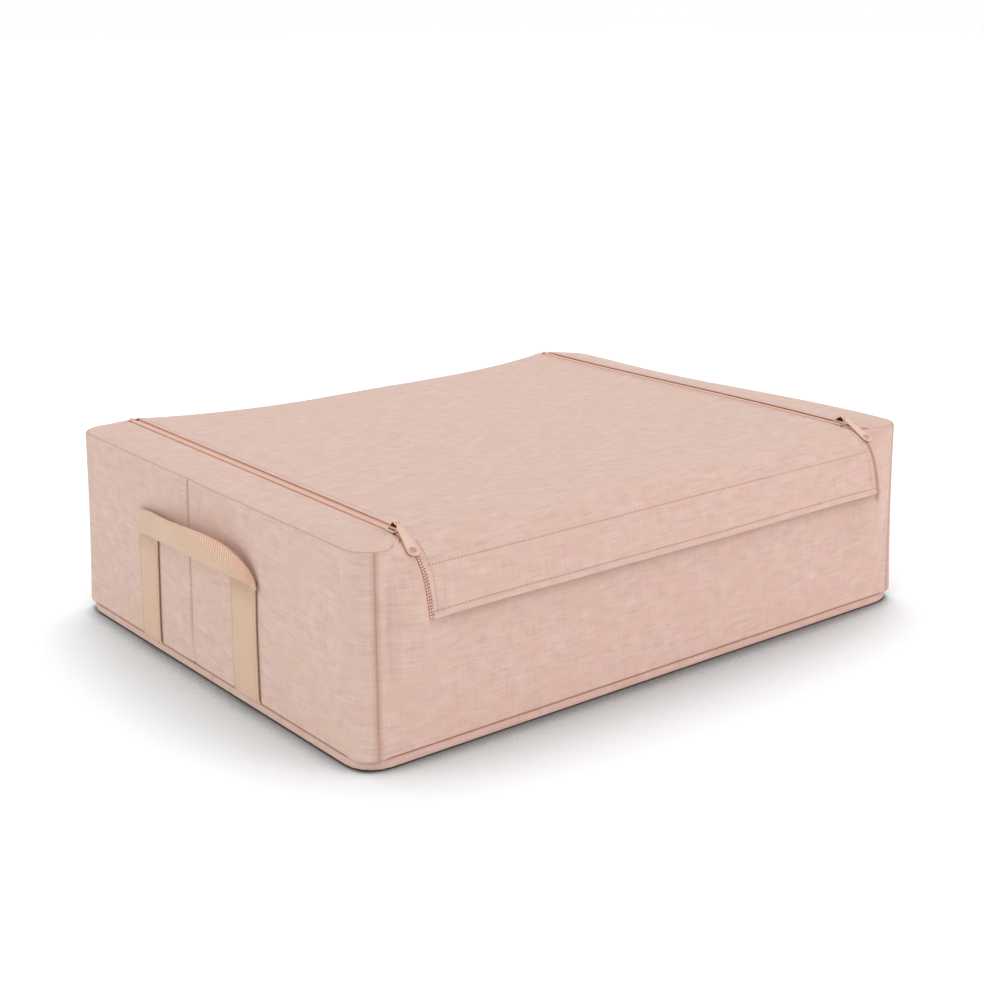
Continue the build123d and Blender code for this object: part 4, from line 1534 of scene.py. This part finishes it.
def make_grip(side, sign):
    """One grip, blended into the legs' upper ends."""
    rib_pitch = bpy.context.scene.box_shape.rib_pitch
    width, run = GRIP_CUT

    def place(u, v):
        along = grip_spot(side, sign, u, v + 0.002) - grip_spot(side, sign, u, v - 0.002)
        across = grip_spot(side, sign, u + 0.02, v) - grip_spot(side, sign, u - 0.02, v)
        normal = across.cross(along).normalized() * sign
        rib = 0.28 * MM * math.cos(2 * math.pi * v * run / rib_pitch)
        edge = min(u, 1 - u) * width
        out = rib * ease(edge / (1.0 * MM)) * (0.2 + bent(u, v)) - tuck(edge, 0.4 * MM, 1.2 * MM)
        # painted shade along the upper edge near the front; below 0, painted highlight where the grip bends
        dark = 0.7 * ease((0.3 - v) / 0.16) * ease(1 - (1 - u) * width / (1.2 * MM))
        spot = tuple(grip_spot(side, sign, u, v) + normal * out)
        return spot, (u * width, v * run), dark if dark > 0.1 else -bent(u, v)

    columns, rows = ticks(0.0, 3, 0.06, 10, 0.94, 3, 1.0), ticks(0.0, 420, 1.0)
    solid = (1.6 * MM, 0.25 * MM)
    grip = sheet_grid(f"{side}_grip", columns, rows, place, "webbing", *solid, flip=sign < 0)
    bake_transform(grip)
    declare(grip, [f"{side}_handle_grip"], None, GRIP_CUT, "hung")


def inside_corners(x, y, high, radius):
    """A spot of a square grid brought inside rounded corners, and its distance from the edge."""
    flat_x, flat_y = high[X] - radius, high[Y] - radius
    cx, cy = max(0.0, abs(x) - flat_x), max(0.0, abs(y) - flat_y)
    if cx and cy:
        far = max(cx, cy) / math.hypot(cx, cy)
        x = math.copysign(flat_x + cx * far, x)
        y = math.copysign(flat_y + cy * far, y)
    return x, y, min(high[X] - abs(x), high[Y] - abs(y))


def floor_sheet(name, node, body, radius, steps, thickness, place):
    """A sheet of lining cloth with rounded corners, lying level; place(x, y, edge) gives z, u and shade."""
    low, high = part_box(node)

    def spot(x, y):
        x, y, edge = inside_corners(x, y, high, radius)
        z, u, dark = place(x, y, edge)
        return (x, y, high[Z] + z), (u, y), dark

    columns, rows = [
        ticks(low[axis], 6, low[axis] + radius, count, high[axis] - radius, 6, high[axis])
        for axis, count in zip((X, Y), steps)
    ]
    skin = sheet_grid(name, columns, rows, spot, "lining_cloth", thickness, 0.0)
    flat = (high[X] - low[X], high[Y] - low[Y])
    declare(skin, [node], body, flat, "laid")


# ------------------------------------------------------------------ the inside
def make_lining():
    """Cloth inside: four walls, the floor, and the binding over the front wall's cut-down top."""
    inset = HALF_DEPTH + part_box("front_wall_lining")[0][Y] + 0.8 * MM
    floor_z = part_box("base_lining")[1][Z]
    for side, (start, end) in WALLS.items():

        def place(s, row, side=side):
            x, y, nx, ny = outline(s)
            dip = rear_dip(x) if side == "back" and x < STRIP_X else 0.0
            top = TOP - 2.6 * MM - dip - outer_drop(x, y)
            if side == "front":
                top -= 14 * MM * ease(zip_side(x) * 1.5)
                if abs(x) < TAPE_OUT_X + 1 * MM:
                    top = NOTCH_Z - 0.4 * MM
            z = floor_z + row * (top - floor_z)
            along = x if side in ("front", "back") else y
            slack = (1.6 * MM + 1.5 * ripple(along, z, 41.0 + len(side))) * math.sin(math.pi * row)
            slack *= ease((z - floor_z - 6 * MM) / (30 * MM))
            if side == "front":
                slack += lip_shift(x, z)
            reach = -inset - slack
            # painted shade at the foot of the lining walls
            return (x + nx * reach, y + ny * reach, z), (s, z), 0.3 * near(z - floor_z, 2 * MM)

        columns = ticks(start, 6, start + 30 * MM, 60, end - 30 * MM, 6, end)
        rows = ticks(0.0, 3, 0.03, 20, 1.0)
        name = f"{side}_wall_lining_skin"
        skin = sheet_grid(name, columns, rows, place, "lining_cloth", 0.6 * MM, 0.0, flip=True)
        flat = (end - start, TOP - floor_z)
        area = flat[0] * flat[1] - (2 * STRIP_X * (TOP - NOTCH_Z) if side == "front" else 0.0)
        declare(skin, [f"{side}_wall_lining"], "box", flat, "stretched")

    def ground(x, y, edge):
        # painted shade along the edges of the floor lining
        return -0.25 * MM * (1 - ease(edge / (6 * MM))), x + 7.0, 0.25 * near(edge, 2 * MM)

    floor_sheet(
        "base_lining_skin", "base_lining", "box", CORNER - 3.6 * MM, (40, 30), 0.6 * MM, ground
    )
    make_front_binding()


def make_front_binding():
    """A folded strip over the top edge of the front wall, between the zips."""
    half = STRIP_X - 3.6 * MM
    y_in, y_cut = -HALF_DEPTH + 6.2 * MM, 7.5 * MM
    bend_z, foot_z = NOTCH_Z - 1.5 * MM, NOTCH_Z - 11 * MM
    spots = [(0.0, foot_z), (0.0, bend_z)]
    for angle in ticks(0.0, 8, math.pi)[1:-1]:
        spots.append((0.5 - 0.5 * math.cos(angle), bend_z + 2.2 * MM * math.sin(angle) ** 0.7))
    spots += [(1.0, bend_z), (1.0, foot_z)]
    runs = lengths([(share * y_cut, z) for share, z in spots])

    def outer(x, z):
        return -HALF_DEPTH - draw_out(x, z) - stand_off("front", x, z) - 0.9 * MM

    def place(x, row):
        share, z = spots[int(row)]
        y = outer(x, z) + (y_in + lip_shift(x, z) - outer(x, z)) * share
        return (x, y, z + ripple(x, 0.0, 51.0, 0.5)), (x, runs[int(row)] + 9.0), 0.0

    columns, rows = ticks(-half, 70, half), list(range(len(spots)))
    strip = sheet_grid("front_binding", columns, rows, place, "linen_cloth", 0.7 * MM, 0.2 * MM)
    sewn_z = NOTCH_Z - 8.5 * MM
    line = [(x, outer(x, sewn_z) - 0.1 * MM, sewn_z) for x in ticks(-half + 3 * MM, 100, half - 3 * MM)]
    sewn = stitches("binding_stitches", [line], "box", "stitch_thread")
    flat = (2 * half, runs[-1])
    declare(strip, (), "box", flat, "folded")


def board_panel(node, columns, rows, place, thickness, flip=False):
    """One stiffener board."""
    name = node + "_panel"
    board = sheet_grid(name, columns, rows, place, "stiffener_board", thickness, 0.2 * MM, flip=flip)
    declare(board, [node], "box")


def make_boards():
    """Stiffener boards, the lift-out base board and its cover."""
    for name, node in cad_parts.items():
        if name.endswith("_board"):
            set_finish(node.data, "stiffener_board")
    low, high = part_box("front_board")

    def front(x, row, low=low, high=high):
        z = low[Z] + row * (high[Z] - low[Z])
        return (x, low[Y] + lip_shift(x, z), z), (x, z), 0.0

    pressed = [-STRIP_X - 12 * MM, 10, -STRIP_X + 2 * MM, 24, STRIP_X - 2 * MM, 10, STRIP_X + 12 * MM]
    columns, rows = ticks(low[X], 8, *pressed, 8, high[X]), ticks(0.0, 6, 0.6, 24, 1.0)
    board_panel("front_board", columns, rows, front, high[Y] - low[Y])
    low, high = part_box("back_board")
    rows, under_seam = ticks(0.0, 4, 1.0), 3 * MM

    def back(x, row, low=low, high=high):
        dip = rear_dip(x) if x < STRIP_X else outer_drop(x, high[Y])
        return (x, high[Y], low[Z] + row * (high[Z] - dip - under_seam - low[Z])), (x, row), 0.0

    board_panel("back_board", ticks(low[X], 60, high[X]), rows, back, high[Y] - low[Y], flip=True)
    for side, sign in SIDES.items():
        for name in (f"{side}_front_board", f"{side}_rear_board"):
            low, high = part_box(name)
            outer = high[X] if sign > 0 else low[X]

            def upright(y, row, low=low, high=high, outer=outer):
                top = high[Z] - outer_drop(outer, y) - under_seam
                return (outer, y, low[Z] + row * (top - low[Z])), (y, row), 0.0

            board_panel(name, ticks(low[Y], 40, high[Y]), rows, upright, high[X] - low[X], flip=sign < 0)

    def cover(x, y, edge):
        lumps = 0.25 * MM * noise.noise(Vector((x / 0.06, y / 0.06, 3)))
        # painted shade along the cover's edges
        return lumps - 0.35 * MM * (1 - ease(edge / (4 * MM))), x + 11.0, 0.12 * near(edge, 3 * MM)

    corner = CORNER - 6.4 * MM
    floor_sheet(
        "base_board_skin", "base_board_cover", "base_board", corner, (44, 34), 0.5 * MM, cover
    )


# --------------------------------------------------------------------- stage
def make_stage():
    """White floor, soft studio light and the camera."""
    reach = 14.0
    corners = [(-reach, -reach, 0), (reach, -reach, 0), (reach, reach, 0), (-reach, reach, 0)]
    mesh = bpy.data.meshes.new("studio_floor")
    mesh.from_pydata(corners, [], [(0, 1, 2, 3)])
    add("studio_floor", mesh, "studio_floor")
    scene = bpy.context.scene
    world = bpy.data.worlds.new("studio")
    scene.world = world
    world.use_nodes = True
    tree = world.node_tree
    tree.nodes.clear()
    light = add_node(tree, "ShaderNodeBackground", None, {0: (1.0, 0.99, 0.98), 1: 0.75}).outputs[0]
    white = add_node(tree, "ShaderNodeBackground", None, {0: (1.0, 1.0, 1.0), 1: 1.0}).outputs[0]
    # seen directly or mirrored, the studio is pure white; it lights a little softer
    rays = add_node(tree, "ShaderNodeLightPath").outputs
    rays = {0: rays["Is Camera Ray"], 1: rays["Is Glossy Ray"]}
    either = add_node(tree, "ShaderNodeMath", {"operation": "MAXIMUM"}, rays).outputs[0]
    mixed = add_node(tree, "ShaderNodeMixShader", None, {0: either, 1: light, 2: white}).outputs[0]
    add_node(tree, "ShaderNodeOutputWorld", None, {0: mixed})
    # name, place, height aimed at, power and colour
    lamps = (
        ("overhead", (0.5, 0.8, 2.3), 0.0, 9.5, (1.0, 1.0, 1.0)),
        ("front_fill", (1.5, -2.6, 0.9), 0.1, 20.0, (1.0, 0.79, 0.78)),
        ("side_fill", (-2.8, -0.2, 0.9), 0.1, 10.0, (1.0, 0.99, 0.98)),
    )
    for name, spot, aim, power, shade in lamps:
        lamp = bpy.data.lights.new(name, "AREA")
        lamp.shape = "SQUARE"
        lamp.size = 1.6
        lamp.energy = power
        lamp.color = shade
        holder = linked(name, lamp)
        holder.location = spot
        holder.rotation_euler = (Vector((0, 0, aim)) - Vector(spot)).to_track_quat("-Z", "Y").to_euler()
    lens = bpy.data.cameras.new("camera")
    lens.sensor_width = 36.0
    lens.lens = 61.9024
    lens.clip_start, lens.clip_end = 0.05, 60.0
    camera = linked("camera", lens)
    around, up = math.radians(-38.585), math.radians(16.955)
    ahead = Vector((-math.sin(around) * math.cos(up), math.cos(around) * math.cos(up), -math.sin(up)))
    camera.location = (-0.9236, -1.1553, 0.5574)
    camera.rotation_euler = ahead.to_track_quat("-Z", "Y").to_euler()
    scene.camera = camera
    scene.view_settings.view_transform = "Standard"


# ------------------------------------------------------------------ operators
def step_operator(idname, label, text, make):
    """An operator that makes one piece or group of like pieces."""

    def execute(self, context):
        make()
        return {"FINISHED"}

    parts = {"bl_idname": "under_bed_box." + idname, "bl_label": label, "__doc__": text, "execute": execute}
    return type("UNDERBEDBOX_OT_" + idname, (bpy.types.Operator,), parts)


STEPS = [
    step_operator("stage", "Stage", "Make the floor, light and camera", make_stage),
    step_operator("base", "Base", "Make the base cloth and the bottom seam", make_base),
    step_operator("walls", "Walls", "Make the four outer walls and the top seam", make_walls),
    step_operator("strips", "Top strips", "Make the fixed margins outside the zips", make_strips),
    step_operator("lid", "Lid", "Make the lid and its lining", make_lid),
    step_operator("flap", "Flap", "Make the front flap and its facing", make_flap),
    step_operator("zips", "Zips", "Make the zip tapes and coils", make_zips),
    step_operator("sliders", "Sliders", "Make the zip sliders and stops", make_sliders),
    step_operator("pulls", "Pulls", "Make the zip pulls", make_pulls),
    step_operator("handles", "Handles", "Make the webbing handles", make_handles),
    step_operator("lining", "Lining", "Make the cloth inside the box", make_lining),
    step_operator("boards", "Boards", "Make the stiffener boards and the base board", make_boards),
]


class UNDERBEDBOX_PT_panel(bpy.types.Panel):
    """Sidebar panel of the box."""

    bl_label = "Under bed box"
    bl_idname = "UNDERBEDBOX_PT_panel"
    bl_space_type = "VIEW_3D"
    bl_region_type = "UI"
    bl_category = "Under bed box"

    def draw(self, context):
        """List the sizes, the colours and the making steps."""
        for group in (context.scene.box_shape, context.scene.box_colours):
            for name in group.bl_rna.properties.keys():
                if name not in ("rna_type", "name"):
                    self.layout.prop(group, name)
        for step in STEPS:
            self.layout.operator(step.bl_idname)


CLASSES = [BoxShape, BoxColours, *STEPS, UNDERBEDBOX_PT_panel]


def register():
    """Register every class and the two groups of properties."""
    for item in CLASSES:
        bpy.utils.register_class(item)
    bpy.types.Scene.box_shape = bpy.props.PointerProperty(type=BoxShape)
    bpy.types.Scene.box_colours = bpy.props.PointerProperty(type=BoxColours)


def unregister():
    """Undo register, in reverse."""
    del bpy.types.Scene.box_colours
    del bpy.types.Scene.box_shape
    for item in reversed(CLASSES):
        bpy.utils.unregister_class(item)


def main():
    """Make everything in order and write both sizes."""
    register()
    for step in STEPS:
        getattr(bpy.ops.under_bed_box, step.bl_idname.split(".")[1])()


if __name__ == "__main__":
    main()
